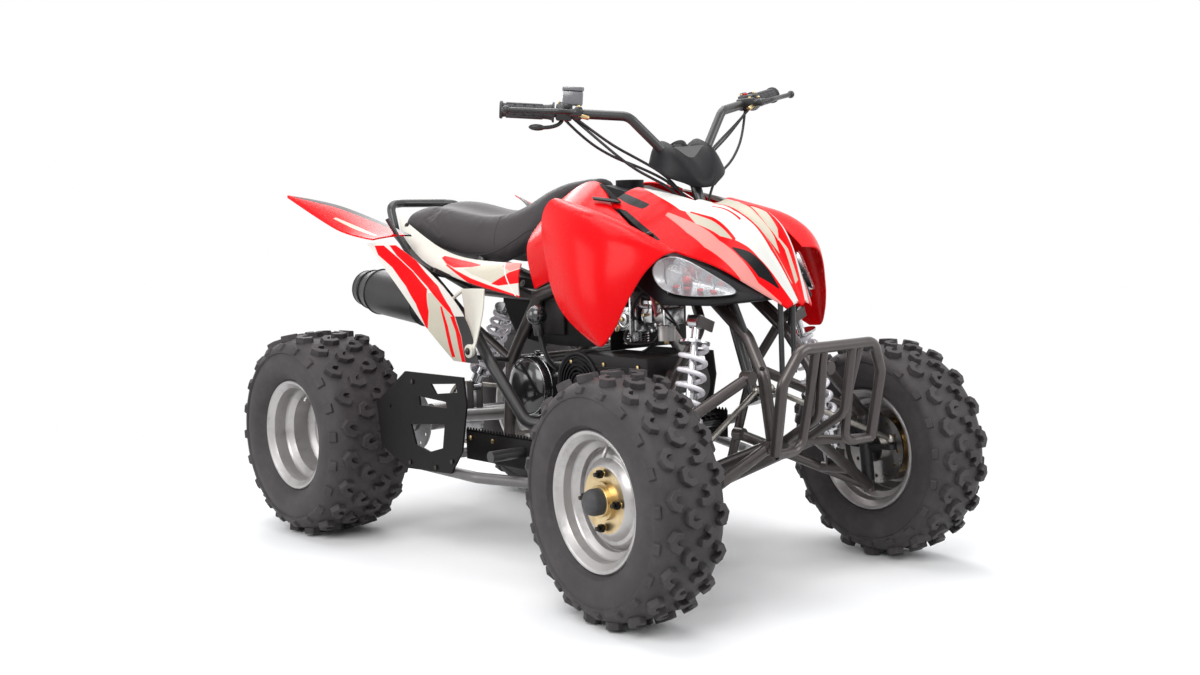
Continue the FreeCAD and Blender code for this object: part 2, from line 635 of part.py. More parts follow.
def drilled_disc(centre, radius, hole_circle):
    disc = ring_solid([(-DISC_WALL / 2, HUB_RADIUS - RIM_WALL), (DISC_WALL / 2, HUB_RADIUS - RIM_WALL),
                       (DISC_WALL / 2, radius), (-DISC_WALL / 2, radius)], centre, Y_AXIS)
    holes = []
    for index in range(DISC_HOLE_COUNT):
        angle = math.radians(FULL_TURN * index / DISC_HOLE_COUNT)
        spot = centre + Vector(math.cos(angle), 0, math.sin(angle)) * hole_circle
        holes.append(Part.makeCylinder(DISC_HOLE_RADIUS, DISC_WALL * 2, spot - Y_AXIS * DISC_WALL, Y_AXIS))
    return disc.cut(holes)


def front_hub(centre, side):
    """Turning hub: barrel over the spindle, wheel flange with studs and nuts, brake disc, cap."""
    start = -KINGPIN_INSET + KNUCKLE_WALL / 2 + SWING_GAP
    bore = SPINDLE_RADIUS + RUNNING_GAP
    back = FRONT_PLANE - FIT_GAP
    barrel = ring_solid([(start, bore), (start, HUB_RADIUS), (back - FLANGE_WALL, HUB_RADIUS),
                         (back - FLANGE_WALL, HUB_FLANGE_RADIUS), (back, HUB_FLANGE_RADIUS),
                         (back, RIM_HOLE_RADIUS - FIT_GAP), (FRONT_PLANE + FLANGE_WALL, RIM_HOLE_RADIUS - FIT_GAP),
                         (FRONT_PLANE + FLANGE_WALL, bore)],
                        centre, Y_AXIS * side)
    nose = FRONT_PLANE + FLANGE_WALL
    cap = ring_solid([(nose, 0), (nose, CAP_RADIUS), (nose + CAP_LENGTH * 0.55, CAP_RADIUS),
                      (nose + CAP_LENGTH * 0.85, CAP_RADIUS * 0.75), (nose + CAP_LENGTH, CAP_RADIUS * 0.3),
                      (nose + CAP_LENGTH, 0)],
                     centre, Y_AXIS * side)
    studs = [bolt_bar(centre, side, FRONT_PLANE, BOLT_RADIUS, i) for i in range(BOLT_COUNT)]
    disc = drilled_disc(centre + Y_AXIS * side * FRONT_DISC_OUT, DISC_RADIUS, DISC_RADIUS * 0.8)
    return union([barrel, cap, disc] + studs + nuts(centre, side, FRONT_PLANE + RIM_WALL + FIT_GAP))


def steered(shape, side):
    return turned(shape, KINGPIN[side], KINGPIN_AXIS, KNUCKLE_REST_DEG)


def front_wheel(side):
    centre = FRONT_CENTRE[side]
    return {
        "tyre": steered(tyre(centre, FRONT_TYRE_RADIUS, FRONT_TYRE_WIDTH, FRONT_RIM_WIDTH), side),
        "rim": steered(rim(centre, side, FRONT_RIM_WIDTH, FRONT_DISH_SHARE, FRONT_STEP_SHARE), side),
        "hub": steered(front_hub(centre, side), side),
    }


def arm_joint(side):
    return KINGPIN[side] + Vector(STEER_ARM, 0, STEER_ARM_RISE)


def knuckle(side):
    """Upright with ball joint ends, spindle, steering arm and brake caliper."""
    pin = KINGPIN[side]
    top = pin + KINGPIN_AXIS * KINGPIN_HALF
    low = pin - KINGPIN_AXIS * KINGPIN_HALF
    inner = BALL_RADIUS + FIT_GAP
    post = rod(low + KINGPIN_AXIS * inner, top - KINGPIN_AXIS * inner, KNUCKLE_WALL / 2)
    spindle_end = pin + Y_AXIS * side * (KINGPIN_INSET + FRONT_PLANE + FLANGE_WALL / 2)
    spindle = rod(pin, spindle_end, SPINDLE_RADIUS)
    tip = arm_joint(side) - KINGPIN_AXIS * (ROD_END_RADIUS + FIT_GAP)
    arm = rod(pin + KINGPIN_AXIS * ROD_RADIUS, tip - KINGPIN_AXIS * (ROD_RADIUS * 1.2), ROD_RADIUS)
    pad = Part.makeCylinder(ROD_END_RADIUS, ROD_RADIUS * 2, tip - KINGPIN_AXIS * (ROD_RADIUS * 2), KINGPIN_AXIS)
    disc_y = KINGPIN_INSET + FRONT_DISC_OUT
    slot = DISC_WALL + BRAKE_GAP * 2
    centre = pin + Vector(-DISC_RADIUS * CALIPER_BACK_SHARE, side * disc_y, DISC_RADIUS * CALIPER_UP_SHARE)
    body = block(centre, CALIPER_LENGTH, slot + CALIPER_WALL * 2, CALIPER_HEIGHT)
    gap = Part.makeCylinder(DISC_RADIUS + BRAKE_GAP, slot, pin + Y_AXIS * (side * disc_y - slot / 2), Y_AXIS)
    caliper = body.cut(gap)
    lug = rod(pin + Vector(0, 0, DISC_RADIUS * CALIPER_UP_SHARE),
              centre - Y_AXIS * side * (slot + CALIPER_WALL) / 2, SPINDLE_RADIUS * 0.6)
    return steered(union([post, spindle, arm, pad, caliper, lug]), side)


# Steering: the column leans back along its own axis

STEM_TOP = place(1.016, 0, 0.944)
STEM_FOOT = place(1.208, 0, 0.413)
STEM_AXIS = (STEM_TOP - STEM_FOOT).normalize()
STEM_FORWARD = Y_AXIS.cross(STEM_AXIS).normalize()


def bars_turned(shape):
    return turned(shape, STEM_FOOT, STEM_AXIS, REST_STEER_DEG)


def pitman_joint(side):
    straight = STEM_FOOT + STEM_FORWARD * PITMAN_ARM + Y_AXIS * side * PITMAN_SPREAD
    return turned_point(straight, STEM_FOOT, STEM_AXIS, REST_STEER_DEG)


def steering_stem():
    low = STEM_FOOT - STEM_AXIS * PITMAN_WALL
    stem = rod(low, STEM_TOP, STEM_RADIUS)
    reach = PITMAN_ARM + ROD_END_RADIUS
    half = PITMAN_SPREAD + ROD_END_RADIUS
    back = STEM_RADIUS * 1.4
    outline = [low - STEM_FORWARD * back - Y_AXIS * back, low + STEM_FORWARD * reach - Y_AXIS * half,
               low + STEM_FORWARD * reach + Y_AXIS * half, low - STEM_FORWARD * back + Y_AXIS * back]
    foot = plate(outline, PITMAN_WALL, Vector(STEM_AXIS))
    bar = (bar_points(LEFT)[0] + bar_points(RIGHT)[0]) / 2
    clamp = block_along(bar, CLAMP_LENGTH, CLAMP_WIDTH, CLAMP_HEIGHT)
    return bars_turned(union([stem, foot, clamp])).cut(handlebar(FIT_GAP))


def block_along(centre, length, width, height):
    """A block whose height follows the steering column."""
    corner = centre - STEM_FORWARD * (length / 2) - Y_AXIS * (width / 2) - STEM_AXIS * (height / 2)
    outline = [corner, corner + STEM_FORWARD * length,
               corner + STEM_FORWARD * length + Y_AXIS * width, corner + Y_AXIS * width]
    return plate(outline, height, Vector(STEM_AXIS))


def bar_points(side):
    return [on_side(p, side) for p in places((BAR_CLAMP_SHARES, BAR_BEND_SHARES, BAR_END_SHARES))]


def handlebar(grow=0):
    return bars_turned(tube(bar_points(RIGHT)[::-1] + bar_points(LEFT), BAR_RADIUS + grow, BAR_BEND_SHARE))


def grip_line(side):
    end = bar_points(side)[2]
    inward = (bar_points(side)[1] - end).normalize()
    return end, inward


def grips():
    shapes = []
    for side in (LEFT, RIGHT):
        end, inward = grip_line(side)
        start = end - inward * GRIP_FLANGE
        outer = rod(start, end + inward * GRIP_LENGTH, GRIP_RADIUS)
        flange = rod(end + inward * (GRIP_LENGTH - GRIP_FLANGE), end + inward * GRIP_LENGTH, GRIP_RADIUS * 1.35)
        bore = rod(end, end + inward * (GRIP_LENGTH + GRIP_FLANGE), BAR_RADIUS + FIT_GAP)
        shapes.append(bars_turned(union([outer, flange]).cut(bore)))
    return Part.makeCompound(shapes)


def controls():
    """Switch boxes, lever brackets, brake levers with ball ends and the fluid reservoir."""
    shapes = []
    forward = Vector(1, 0, 0)
    up = Vector(0, 0, 1)
    for side in (LEFT, RIGHT):
        end, inward = grip_line(side)
        near = end + inward * (GRIP_LENGTH + FIT_GAP)
        far = near + inward * SWITCH_LENGTH
        sleeve = rod(near, far, SWITCH_RADIUS)
        perch = near + inward * SWITCH_LENGTH * 0.8 + forward * LEVER_OUT
        bracket = rod(near + inward * SWITCH_LENGTH * 0.8, perch, LEVER_RADIUS * 2)
        tip = perch - inward * LEVER_REACH
        lever = tube([perch, perch - inward * LEVER_REACH * 0.2 + forward * LEVER_RADIUS * 2, tip], LEVER_RADIUS)
        knob = ball(tip, LEVER_RADIUS * 1.8)
        bore = rod(near - inward, far + inward * SWITCH_LENGTH, BAR_RADIUS + FIT_GAP)
        pieces = [sleeve, bracket, lever, knob]
        if side == RIGHT:
            tank = block(far + up * RESERVOIR_SIZE * 0.5 - inward * RESERVOIR_SIZE * 0.1,
                         RESERVOIR_SIZE, RESERVOIR_SIZE, RESERVOIR_SIZE)
            pieces.append(tank)
        shapes.append(bars_turned(union(pieces).cut(bore)))
    return Part.makeCompound(shapes)


def instrument_pod():
    body = faceted([places(section) for section in POD_SHARES])
    middle = STEM_TOP + STEM_AXIS * (CLAMP_HEIGHT / 2)
    clear = rod(STEM_FOOT, middle + STEM_AXIS * CLAMP_HEIGHT, STEM_RADIUS + FIT_GAP)
    bar = (bar_points(LEFT)[0] + bar_points(RIGHT)[0]) / 2
    top = block_along(bar, CLAMP_LENGTH + FIT_GAP * 2, CLAMP_WIDTH + FIT_GAP * 2, CLAMP_HEIGHT + FIT_GAP * 2)
    return bars_turned(body.cut([clear, top])).cut(handlebar(FIT_GAP))


def tie_rod(side):
    """Rod with an eye at each end; its inner eye sits over the stem's foot plate."""
    outer = turned_point(arm_joint(side), KINGPIN[side], KINGPIN_AXIS, KNUCKLE_REST_DEG)
    lift = STEM_AXIS * (ROD_END_RADIUS + BALL_GAP)
    inner = pitman_joint(side) + lift
    bar = rod(inner, outer, ROD_RADIUS)
    return union([bar, ball(inner, ROD_END_RADIUS), ball(outer, ROD_END_RADIUS)])


# Front suspension


def arm(front_shares, rear_shares, ball_end):
    """A pair of legs from two frame pivots to one ball joint socket."""
    front = place(*front_shares)
    rear = place(*rear_shares)
    socket = rod(ball_end - KINGPIN_AXIS * BALL_RADIUS, ball_end + KINGPIN_AXIS * BALL_RADIUS, BALL_RADIUS)
    legs = [rod(front, ball_end, ARM_TUBE), rod(rear, ball_end, ARM_TUBE)]
    sleeves = [rod(p - Vector(EYE_WIDTH / 2, 0, 0), p + Vector(EYE_WIDTH / 2, 0, 0), EYE_RADIUS) for p in (front, rear)]
    reach = KINGPIN_AXIS * (KINGPIN_HALF - BALL_RADIUS)
    post = rod(KINGPIN[LEFT] - reach, KINGPIN[LEFT] + reach, KNUCKLE_WALL / 2 + SWING_GAP / 2)
    return union(legs + sleeves + [socket]).cut(post)


def upper_ball(side):
    return KINGPIN[side] + KINGPIN_AXIS * KINGPIN_HALF


def lower_ball(side):
    return KINGPIN[side] - KINGPIN_AXIS * KINGPIN_HALF


def upper_arms():
    return both_sides(arm(UPPER_FRONT_SHARES, UPPER_REAR_SHARES, upper_ball(LEFT)).cut(frame_room()))


def pin_mount(eye, root, forward=X_AXIS):
    """A pin through an eye and the two ears that carry it from the tube at the root."""
    half = EYE_WIDTH / 2 + FIT_GAP + EAR_WALL
    pieces = [rod(eye - forward * half, eye + forward * half, PIN_RADIUS)]
    for way in (-1, 1):
        spot = eye + forward * way * (EYE_WIDTH / 2 + FIT_GAP)
        foot = root + forward * (spot - root).dot(forward)
        line = (spot - foot).normalize()
        wide = line.cross(forward) * EAR_HALF
        outline = [foot - wide, foot + wide, spot + wide + line * EAR_HALF, spot - wide + line * EAR_HALF]
        pieces.append(plate(outline, EAR_WALL, forward * way))
    return pieces


def shock_foot():
    middle = (place(*LOWER_FRONT_SHARES) + place(*LOWER_REAR_SHARES)) / 2
    return middle + (lower_ball(LEFT) - middle) * SHOCK_FOOT_SHARE + Vector(0, 0, ARM_TUBE + EYE_RADIUS + PLATE_WALL)


def lower_arms():
    legs = arm(LOWER_FRONT_SHARES, LOWER_REAR_SHARES, lower_ball(LEFT))
    front = place(*LOWER_FRONT_SHARES)
    rear = place(*LOWER_REAR_SHARES)
    share = SHOCK_FOOT_SHARE
    cross_front = front + (lower_ball(LEFT) - front) * share
    cross_rear = rear + (lower_ball(LEFT) - rear) * share
    cross = rod(cross_front, cross_rear, ARM_TUBE)
    mount = pin_mount(shock_foot(), (cross_front + cross_rear) / 2)
    return both_sides(union([legs, cross] + mount).cut(frame_room()))


def shock_axis(top, foot):
    return (top - foot).normalize()


def damper(top, foot, forward=X_AXIS):
    """Damper: eyes, body, rod and the two spring seats."""
    axis = shock_axis(top, foot)
    length = (top - foot).Length
    side = axis.cross(Y_AXIS.cross(axis)).normalize()
    low_seat = foot + axis * (length * SEAT_LOW_SHARE)
    high_seat = top - axis * (length * SEAT_HIGH_SHARE)
    pieces = [
        rod(foot, foot + axis * EYE_RADIUS * 1.5, DAMPER_RADIUS * 0.5),
        rod(foot + axis * EYE_RADIUS * 1.3, foot + axis * length * 0.55, DAMPER_RADIUS),
        rod(foot + axis * length * 0.5, top, DAMPER_RADIUS * 0.5),
        rod(low_seat - axis * SPRING_SEAT_WALL, low_seat, SPRING_SEAT_RADIUS),
        rod(high_seat, high_seat + axis * SPRING_SEAT_WALL, SPRING_SEAT_RADIUS),
    ]
    bores = []
    for eye in (top, foot):
        pieces.append(rod(eye - forward * EYE_WIDTH / 2, eye + forward * EYE_WIDTH / 2, EYE_RADIUS))
        bores.append(rod(eye - forward * EYE_WIDTH, eye + forward * EYE_WIDTH, PIN_RADIUS + FIT_GAP))
    return union(pieces).cut(bores)


def spring(top, foot):
    """A coil between the two seats, its ends resting just clear of them."""
    axis = shock_axis(top, foot)
    length = (top - foot).Length
    low = foot + axis * (length * SEAT_LOW_SHARE + WIRE_RADIUS + FIT_GAP)
    height = length * (1 - SEAT_LOW_SHARE - SEAT_HIGH_SHARE) - WIRE_RADIUS * 2 - FIT_GAP * 2
    helix = Part.makeHelix(height / COIL_COUNT, height, COIL_RADIUS - WIRE_RADIUS)
    path = Part.Wire(helix.Edges)
    ring = Part.Wire([Part.makeCircle(WIRE_RADIUS, Vector(COIL_RADIUS - WIRE_RADIUS, 0, 0), Y_AXIS)])
    sweep = Part.BRepOffsetAPI.MakePipeShell(path)
    sweep.setFrenetMode(True)
    sweep.add(ring)
    sweep.build()
    sweep.makeSolid()
    coil = sweep.shape()
    if coil.Volume < 0:
        coil.reverse()
    coil.Placement = Placement(low, Rotation(Vector(0, 0, 1), axis))
    return coil


def dampers():
    front = damper(place(*SHOCK_TOP_SHARES), shock_foot())
    rear = damper(rear_shock_top(), place(*REAR_SHOCK_FOOT_SHARES), Y_AXIS)
    return Part.makeCompound([front, mirror(front), rear])


def springs():
    front = spring(place(*SHOCK_TOP_SHARES), shock_foot())
    rear = spring(rear_shock_top(), place(*REAR_SHOCK_FOOT_SHARES))
    return Part.makeCompound([front, mirror(front), rear])


# Frame


def frame(grow=0):
    """Welded tube frame: upper and lower rails, down tubes, towers and cross tubes."""
    pieces = []
    for shares, radius in ((UPPER_RAIL_SHARES, MAIN_TUBE), (LOWER_RAIL_SHARES, MAIN_TUBE),
                           (DOWN_TUBE_SHARES, SMALL_TUBE), (FRONT_TUBE_SHARES, MAIN_TUBE * 0.85),
                           (SIDE_TUBE_SHARES, MAIN_TUBE), (REAR_STAY_SHARES, SMALL_TUBE)):
        side = tube(places(shares), radius + grow)
        pieces += [side, mirror(side)]
    for share in CROSS_SHARES:
        left = place(*share)
        pieces.append(rod(left, on_side(left, RIGHT), SMALL_TUBE + grow))
    case_floor = place(*CASE_CENTRE_SHARES).z - CASE_HEIGHT / 2 - FIT_GAP
    for way in (LEFT, RIGHT):
        foot = place(*ENGINE_FOOT_SHARES)
        foot = on_side(foot, way)
        pieces.append(rod(foot, Vector(foot.x, foot.y, case_floor + grow), SMALL_TUBE + grow))
    if not grow:
        tower = pin_mount(place(*SHOCK_TOP_SHARES), place(*DOWN_TUBE_SHARES[1]))
        pieces += tower + [mirror(piece) for piece in tower]
        pieces += pin_mount(rear_shock_top(), place(*REAR_SHOCK_TOP_SHARES), Y_AXIS)
    top = place(1.060, 0.16, 0.705)
    head = STEM_FOOT + STEM_AXIS * ((top.z - STEM_FOOT.z) / STEM_AXIS.z)
    collar = rod(head - STEM_AXIS * COLLAR_LENGTH / 2, head + STEM_AXIS * COLLAR_LENGTH / 2, STEM_RADIUS + COLLAR_WALL)
    arms = [rod(top, head, SMALL_TUBE), rod(on_side(top, RIGHT), head, SMALL_TUBE)]
    bore = rod(STEM_FOOT, STEM_TOP, STEM_RADIUS + RUNNING_GAP)
    return union(pieces + [collar] + arms).cut(bore)


def frame_room():
    """The frame's tubes with the fitting gap round them, made once."""
    if not FRAME_ROOM:
        FRAME_ROOM.append(frame(FIT_GAP))
    return FRAME_ROOM[0]


FRAME_ROOM = []


def front_bumper():
    """A bent hoop with a loop each side and two posts that run back to the lower frame."""
    pieces = [tube(places(BUMPER_HOOP_SHARES), BUMPER_TUBE)]
    for shares in (BUMPER_LOOP_SHARES, BUMPER_POST_SHARES, BUMPER_STAY_SHARES):
        side = tube(places(shares), BUMPER_TUBE * 0.85)
        pieces += [side, mirror(side)]
    return union(pieces).cut(frame_room())


# Rear axle, its wheels and the arm that carries them


def rear_rims():
    shapes = [rim(REAR_CENTRE[s], s, REAR_RIM_WIDTH, REAR_DISH_SHARE, REAR_STEP_SHARE) for s in (LEFT, RIGHT)]
    return Part.makeCompound(shapes)


def rear_tyres():
    return Part.makeCompound([tyre(REAR_CENTRE[s], REAR_TYRE_RADIUS, REAR_TYRE_WIDTH, REAR_RIM_WIDTH)
                              for s in (LEFT, RIGHT)])


def toothed_wheel(centre, radius, bore, wall, teeth):
    """Chain wheel: a ring of teeth on a plain disc."""
    corners = []
    for index in range(teeth * 4):
        angle = math.radians(FULL_TURN * index / (teeth * 4))
        out = radius if index % 4 < 2 else radius - TOOTH_HEIGHT
        corners.append(centre + Vector(math.cos(angle) * out, -wall / 2, math.sin(angle) * out))
    disc = Part.Face(Part.makePolygon(corners + [corners[0]])).extrude(Y_AXIS * wall)
    return disc.cut(Part.makeCylinder(bore, wall * 2, centre - Y_AXIS * wall, Y_AXIS))


def rear_axle():
    """Solid axle with hubs, studs, nuts, chain wheel and drilled brake disc."""
    pieces = []
    tips = {}
    for side in (LEFT, RIGHT):
        centre = REAR_CENTRE[side]
        plane = REAR_PLANE
        out = Y_AXIS * side
        face = centre + out * (plane - FIT_GAP)
        pieces.append(rod(centre + out * (plane - HUB_LENGTH), face, HUB_RADIUS))
        pieces.append(rod(face - out * FLANGE_WALL, face, HUB_FLANGE_RADIUS))
        tips[side] = centre + out * (plane + CAP_LENGTH)
        pieces += [bolt_bar(centre, side, plane, BOLT_RADIUS, i) for i in range(BOLT_COUNT)]
        pieces += nuts(centre, side, plane + RIM_WALL + FIT_GAP)
        pieces.append(hex_bar(centre + out * (plane + RIM_WALL), out, REAR_AXLE_RADIUS * 1.5, NUT_HEIGHT * 1.5))
    pieces.append(rod(tips[RIGHT], tips[LEFT], REAR_AXLE_RADIUS))
    middle = Vector(REAR_AXLE_X, 0, REAR_TYRE_RADIUS)
    wheel = middle + Y_AXIS * (SPROCKET_Y_SHARE * HALF_WIDTH * 2)
    disc = middle + Y_AXIS * (DISC_Y_SHARE * HALF_WIDTH * 2)
    pieces.append(toothed_wheel(wheel, SPROCKET_RADIUS, REAR_AXLE_RADIUS - RIM_WALL, SPROCKET_WALL, TOOTH_COUNT))
    pieces.append(rod(wheel - Y_AXIS * FLANGE_WALL, wheel + Y_AXIS * FLANGE_WALL, HUB_RADIUS))
    pieces.append(drilled_disc(disc, REAR_DISC_RADIUS, REAR_DISC_RADIUS * 0.8))
    pieces.append(rod(disc - Y_AXIS * FLANGE_WALL, disc + Y_AXIS * FLANGE_WALL, HUB_RADIUS))
    return union(pieces)


def swingarm():
    """Two box arms from the frame's pivot to the bearing carrier round the axle."""
    middle = Vector(REAR_AXLE_X, 0, REAR_TYRE_RADIUS)
    half = Y_AXIS * (CARRIER_WIDTH / 2)
    carrier = rod(middle - half, middle + half, CARRIER_RADIUS)
    pivot = place(*ARM_PIVOT_SHARES)
    sleeve = rod(on_side(pivot, RIGHT), pivot, EYE_RADIUS * 1.2)
    arms = []
    for side in (LEFT, RIGHT):
        start = on_side(pivot, side) - Y_AXIS * side * ARM_BOX / 2
        end = middle + Y_AXIS * side * (CARRIER_WIDTH / 2 - ARM_BOX / 4) + Vector(CARRIER_RADIUS * 0.6, 0, 0)
        arms.append(rod(start, end, ARM_BOX / 2 * 0.8))
    eye = place(*REAR_SHOCK_FOOT_SHARES)
    line = on_side(pivot, 0) - middle
    bridge = middle + line * ((eye.x - middle.x) / line.x)
    cross = rod(bridge - Y_AXIS * ARM_BOX, bridge + Y_AXIS * ARM_BOX, ARM_TUBE)
    mount = pin_mount(eye, bridge, Y_AXIS)
    bore = rod(middle - half * 2, middle + half * 2, REAR_AXLE_RADIUS + RUNNING_GAP)
    return union([carrier, sleeve, cross] + mount + arms).cut([bore, frame_room()])


def rear_shock_top():
    return place(*REAR_SHOCK_TOP_SHARES) - Vector(0, 0, SMALL_TUBE + EYE_RADIUS + PLATE_WALL)


def chain():
    """One closed loop round the two chain wheels, clear of the turning teeth."""
    wheel_y = SPROCKET_Y_SHARE * HALF_WIDTH * 2
    rear = Vector(REAR_AXLE_X, wheel_y, REAR_TYRE_RADIUS)
    front = place(*DRIVE_SHARES) + Y_AXIS * wheel_y
    shapes = []
    for grow in (CHAIN_GAP + CHAIN_WALL, CHAIN_GAP):
        shapes.append(belt_solid(rear, SPROCKET_RADIUS + grow, front, SMALL_SPROCKET_RADIUS + grow, CHAIN_WIDTH))
    return shapes[0].cut(shapes[1])


def belt_solid(rear, rear_radius, front, front_radius, width):
    """The solid that a belt round two pulleys would fill."""
    line = front - rear
    reach = line.Length
    along = line * (1 / reach)
    up = Y_AXIS.cross(along)
    lean = math.asin((rear_radius - front_radius) / reach)
    rear_dir = {s: along * math.sin(lean) + up * (s * math.cos(lean)) for s in (LEFT, RIGHT)}
    points = {}
    for s in (LEFT, RIGHT):
        points[s] = (rear + rear_dir[s] * rear_radius, front + rear_dir[s] * front_radius)
    back = rear - along * rear_radius
    tip = front + along * front_radius
    edges = [
        Part.LineSegment(points[LEFT][0], points[LEFT][1]).toShape(),
        Part.Arc(points[LEFT][1], tip, points[RIGHT][1]).toShape(),
        Part.LineSegment(points[RIGHT][1], points[RIGHT][0]).toShape(),
        Part.Arc(points[RIGHT][0], back, points[LEFT][0]).toShape(),
    ]
    face = Part.Face(Part.Wire(edges))
    return face.extrude(Y_AXIS * width).translated(Y_AXIS * (-width / 2))


# Engine, its shroud and fan, carburettor, exhaust


def engine_case():
    """Crankcase block with the belt drive's case on its left and the output shaft's wheel."""
    centre = place(*CASE_CENTRE_SHARES)
    case = block(centre, CASE_LENGTH, CASE_WIDTH, CASE_HEIGHT)
    case = case.makeFillet(CASE_HEIGHT * 0.15, [e for e in case.Edges if abs(e.tangentAt(0).y) > AXIS_LIMIT_SHARE])
    left = Y_AXIS * (CASE_WIDTH / 2)
    front = centre + left + Vector(CASE_LENGTH * 0.35, 0, 0)
    rear = centre + left - Vector(CASE_LENGTH * 0.35, 0, 0)
    belt = belt_solid(rear, BELT_CASE_RADIUS, front, BELT_CASE_RADIUS * 0.9, BELT_CASE_WIDTH)
    drive = place(*DRIVE_SHARES)
    wheel = drive + Y_AXIS * (SPROCKET_Y_SHARE * HALF_WIDTH * 2)
    lobe_end = wheel - Y_AXIS * (CHAIN_WIDTH / 2 + SWING_GAP)
    lobe = rod(on_side(lobe_end, RIGHT), lobe_end, GEAR_CASE_RADIUS)
    inner = Vector(centre.x, 0, drive.z)
    bridge = block((drive + inner) / 2, inner.x - drive.x, (lobe_end.y) * 2, GEAR_CASE_RADIUS * 2)
    shaft = rod(lobe_end, wheel + Y_AXIS * SPROCKET_WALL, REAR_AXLE_RADIUS)
    small = rod(wheel - Y_AXIS * SPROCKET_WALL / 2, wheel + Y_AXIS * SPROCKET_WALL / 2, SMALL_SPROCKET_RADIUS)
    room = Part.makeCylinder(SMALL_SPROCKET_RADIUS + CHAIN_GAP * 2 + CHAIN_WALL, CHAIN_WIDTH + SWING_GAP,
                             wheel - Y_AXIS * (CHAIN_WIDTH + SWING_GAP) / 2, Y_AXIS)
    return union([union([case, belt, lobe, bridge]).cut(room), shaft, small])


def engine_cylinder():
    """Finned cylinder and head lying forward of the case."""
    foot = place(*CYLINDER_FOOT_SHARES)
    top = place(*CYLINDER_TOP_SHARES)
    axis = (top - foot).normalize()
    front = place(*CASE_CENTRE_SHARES).x + CASE_LENGTH / 2
    start = foot + axis * ((front - foot.x) / axis.x)
    length = (top - start).Length
    pieces = [rod(start - axis * FIN_WALL, top, CYLINDER_RADIUS)]
    for index in range(FIN_COUNT):
        spot = start + axis * (length * (index + 0.5) / FIN_COUNT)
        pieces.append(rod(spot, spot + axis * FIN_WALL, CYLINDER_RADIUS * 1.4))
    pieces.append(rod(top, top + axis * CYLINDER_RADIUS * 0.6, CYLINDER_RADIUS * 1.2))
    return union(pieces).cut(engine_case())


def fan_cover():
    """Black fan housing on the right of the engine, with a grille of rings."""
    centre = place(*FAN_SHARES)
    out = Y_AXIS * RIGHT
    depth = abs(centre.y) - CASE_WIDTH / 2 - FIT_GAP
    rings = []
    radius = FAN_RADIUS
    while radius > FAN_RING_WIDTH * 2:
        rings.append(ring_solid([(-FAN_COVER_WALL, radius - FAN_RING_WIDTH), (-FAN_COVER_WALL, radius), (0, radius),
                                 (0, radius - FAN_RING_WIDTH)], centre, out))
        radius -= FAN_RING_WIDTH * 2.4
    bars = []
    for index in range(4):
        angle = math.pi * index / 4
        way = Vector(math.cos(angle), 0, math.sin(angle)) * FAN_RADIUS * 0.98
        bars.append(rod(centre - way - out * FAN_COVER_WALL / 2, centre + way - out * FAN_COVER_WALL / 2, FAN_RING_WIDTH))
    wall = ring_solid([(-depth, FAN_RADIUS - FAN_RING_WIDTH), (-depth, FAN_RADIUS + FAN_RING_WIDTH * 2),
                       (-FAN_COVER_WALL / 2, FAN_RADIUS + FAN_RING_WIDTH * 2), (-FAN_COVER_WALL / 2, FAN_RADIUS - FAN_RING_WIDTH)],
                      centre, out)
    hub = rod(centre - out * depth, centre - out * FAN_COVER_WALL, FAN_RADIUS * 0.6)
    nose = hub.fuse(rod(centre - out * FAN_COVER_WALL, centre, FAN_RING_WIDTH * 2))
    return union(rings + bars + [wall, nose])


def exhaust_pipe(grow=0):
    return tube(places(HEADER_SHARES), HEADER_RADIUS + grow)


def muffler():
    """Black silencer: cone, barrel, and a dished end cap with an outlet."""
    front = place(*MUFFLER_FRONT_SHARES)
    rear = place(*MUFFLER_REAR_SHARES)
    axis = (rear - front).normalize()
    length = (rear - front).Length
    profile = [(FIT_GAP, 0), (FIT_GAP, HEADER_RADIUS * 1.2), (length * 0.2, MUFFLER_RADIUS), (length * 0.8, MUFFLER_RADIUS),
               (length * 0.9, MUFFLER_RADIUS * 0.86), (length * 0.9, MUFFLER_RADIUS * 0.80),
               (length * 0.93, MUFFLER_RADIUS * 0.80), (length * 0.93, MUFFLER_RADIUS * 0.86), (length, MUFFLER_RADIUS * 0.78),
               (length, HEADER_RADIUS), (length * 0.95, HEADER_RADIUS), (length * 0.95, 0)]
    return ring_solid(profile, front, axis).cut(exhaust_pipe(FIT_GAP))


def carburettor():
    """Carburettor on its inlet elbow: bowl, body and slide cap."""
    centre = place(*CARB_SHARES)
    body = rod(centre - Vector(CARB_RADIUS * 2, 0, 0), centre + Vector(CARB_RADIUS, 0, 0), CARB_RADIUS)
    cap = rod(centre, centre + Vector(0, 0, CARB_RADIUS * 2.4), CARB_RADIUS * 0.9)
    bowl = rod(centre - Vector(0, 0, CARB_RADIUS * 2.2), centre, CARB_RADIUS * 0.8)
    head = place(*CYLINDER_TOP_SHARES) + Vector(0, 0, CYLINDER_RADIUS * 1.4 + FIT_GAP * 4)
    elbow = rod(head, centre - Vector(CARB_RADIUS, 0, 0), CARB_RADIUS * 0.6)
    return union([body, cap, bowl, elbow])


# Bodywork


def panel(shares, inward):
    return skin([places(row) for row in shares], inward)


def hood():
    """Centre hood: a shallow valley between two crests that run down into a pointed nose."""
    rows = []
    for row in HOOD_SHARES:
        left = places(row)
        rows.append([on_side(p, RIGHT) for p in left[:0:-1]] + left)
    sheet = skin(rows, DOWN)
    start = place(*HOOD_MOUTH_SHARES[0])
    end = place(*HOOD_MOUTH_SHARES[1])
    return sheet.cut(Part.makeBox(end.x - start.x, end.y - start.y, end.z - start.z, start))


def front_fenders():
    return both_sides(panel(FENDER_SHARES, INWARD_DOWN))


